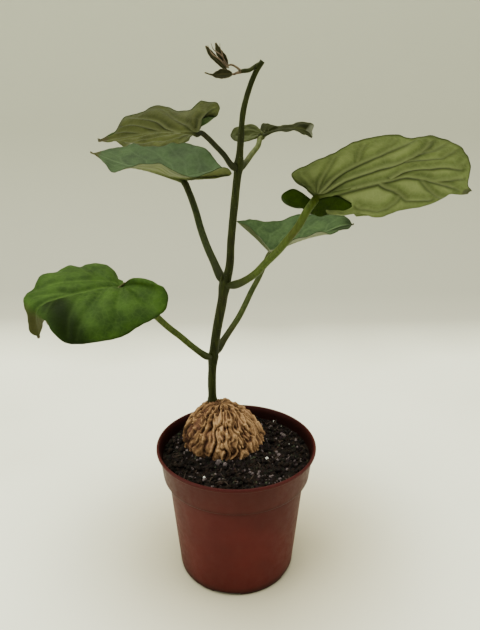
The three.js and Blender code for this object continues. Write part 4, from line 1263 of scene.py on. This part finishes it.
upperLook = {"down": 0.0, "shine": 0.05, "netShow": 0.1, "creaseShow": 0.12, "veinShow": 0.8,
             "rough": 0.56, "netRelief": -0.5, "puffShow": 0.12}
underLook = {"down": 0.05, "shine": 0.1, "netShow": 0.1, "creaseShow": 1.0, "veinShow": 0.5,
             "rough": 0.66, "netRelief": 0.6, "puffShow": 0.4}
# each leaf's greens are one leaf green made lighter, darker or bluer as that leaf is lit: painted light
# and shade, the blue greens a painted reflection. Flank is the tone of the painted shade and of the
# border.
greens = {  # of a blade: deep, light, vein, flank and dry, and of a stalk: dark, light and blush
    "lowerLeft": {"slot": "dark_leaf",
                  "upper": ("#1e300e", "#314817", "#50682f", "#0d1702", "#35361a"),
                  "under": ("#3b3f1c", "#4c4e27", "#5a5a33", "#282913", "#443c26"),
                  "stalk": ("#2d3713", "#444e1f", "#3f451c")},
    "lowerRight": {"slot": "blue_green_leaf",
                   "upper": ("#24331c", "#364828", "#586a46", "#121a09", "#262a14"),
                   "under": ("#5c6244", "#74775a", "#838468", "#2c3619", "#4e4a38"),
                   "stalk": ("#2a3214", "#3e4520", "#41361b")},
    "middleLeft": {"slot": "blue_green_leaf",
                   "upper": ("#283420", "#324227", "#4f6042", "#171f0c", "#353218"),
                   "under": ("#444b27", "#5a6037", "#6a6f45", "#2d3516", "#443f29"),
                   "stalk": ("#1d230d", "#2d3414", "#302614")},
    "middleRight": {"slot": "pale_leaf",
                    "upper": ("#121e02", "#1f2f03", "#35450a", "#0b1302", "#2a2c06"),
                    "under": ("#4b552d", "#5c6739", "#848d5c", "#20270b", "#41442c"),
                    "stalk": ("#323d10", "#414e1b", "#373413")},
    "upperLeft": {"slot": "pale_leaf",
                  "upper": ("#212f15", "#314020", "#526138", "#17200e", "#373520"),
                  "under": ("#3f4324", "#565c33", "#6f7450", "#262b13", "#4c4833"),
                  "stalk": ("#161809", "#23260e", "#292010")},
    "upperRight": {"slot": "pale_leaf",
                   "upper": ("#141704", "#202309", "#2f3312", "#0b0d02", "#5c5e4c"),
                   "under": ("#282c0f", "#3a401e", "#4c5229", "#1a1d08", "#73765f"),
                   "stalk": ("#3b4120", "#505530", "#413a24")},
}
for key, leaf in leaves.items():
    tones = greens[key]
    leaf["slot"] = tones["slot"]
    skins = []
    for side, look in (("upper", upperLook), ("under", underLook)):
        deep, light, vein, flank, dry = tones[side]
        skins.append(leafSkin(f"leaf_{side}_{key}", {
            **look, "deep": deep, "light": light, "vein": vein, "flank": flank, "border": flank,
            "dry": dry}))
    leafBlade(key, leaf, skins)
    leafStalk(key, leaf, greenStem(f"leaf_stalk_{key}", *tones["stalk"], rib=tones["under"][0]))
    print(key, "leaf done")

# The young leaves at the tip: narrow, half folded, with a drawn-out tip
youngLeaves = {
    "youngLeft": {
        "node": "young_leaf_left",
        "midrib": [(-4, 0, 270), (-8, 0.5, 274), (-11, 1, 277), (-13.5, 1.5, 280.5)],
        "halfWidths": [0.5, 0.9, 1.2, 1.2, 0.2],
    },
    "youngRight": {
        "node": "young_leaf_right",
        "midrib": [(-3.5, 2, 271.5), (-5.5, 2.5, 275.5), (-7.5, 2.5, 278), (-9, 3, 282)],
        "halfWidths": [0.5, 1.4, 1.7, 1.2, 0.2],
    },
    "youngLow": {
        "node": "young_leaf_low",
        "midrib": [(-1.5, -0.5, 268.5), (-5.5, -1.5, 268.5), (-10, -2, 268), (-14, -2, 269)],
        "halfWidths": [0.7, 1.7, 2, 2, 1.4, 0.4, 0.2, 0.15],
    },
}
youngShape = {"columns": 12, "rows": 36, "thickness": 0.45, "crinkle": 0.15}


def youngBlade(name, leaf, skins):
    bm = bmesh.new()
    layers = {key: bm.verts.layers.float.new(key) for key in leafMarks}
    path = smoothPath(leaf["midrib"])
    columns, rows, back = youngShape["columns"], youngShape["rows"], Vector((0, 1, 0))

    def place(v, column, row):
        share, across = row / rows, 2 * column / columns - 1
        along = (path(min(share + 0.02, 1)) - path(max(share - 0.02, 0))).normalized()
        side = along.cross(back).normalized()
        width = listed(leaf["halfWidths"], share)
        width *= 1 + 0.18 * noise.noise(Vector((share * 9, 4 * (across > 0), 3)))
        v[layers["vein"]] = max(0, 1 - 3 * abs(across))
        v[layers["rim"]], v[layers["tip"]] = abs(across), 0.7 * ease(0.7, 1, share)
        fold = back * width * (0.25 - 0.5 * across ** 2)
        crinkle = back * youngShape["crinkle"] * noise.noise(Vector((share * 14, across * 2, 8)))
        return path(share) + (side * across * width + fold + crinkle) * mm

    placedGrid(bm, columns, rows, place)
    piece = addPiece(name, bm, skins, "young_leaf", leaf["node"])
    thick = piece.modifiers.new("thickness", "SOLIDIFY")
    thick.thickness, thick.offset, thick.material_offset = youngShape["thickness"] * mm, 0, 1
    smooth = piece.modifiers.new("smooth", "SUBSURF")
    smooth.levels = smooth.render_levels = 1


youngSkin = leafSkin("young_leaf_skin", {
    **underLook, "deep": "#191a0b", "light": "#2f2e17", "vein": "#4a462a",
    "flank": "#17180a", "border": "#4a3a26", "dry": "#6f5a42"})
for name, leaf in youngLeaves.items():
    youngBlade(name, leaf, [youngSkin, youngSkin])
print("young leaves done")
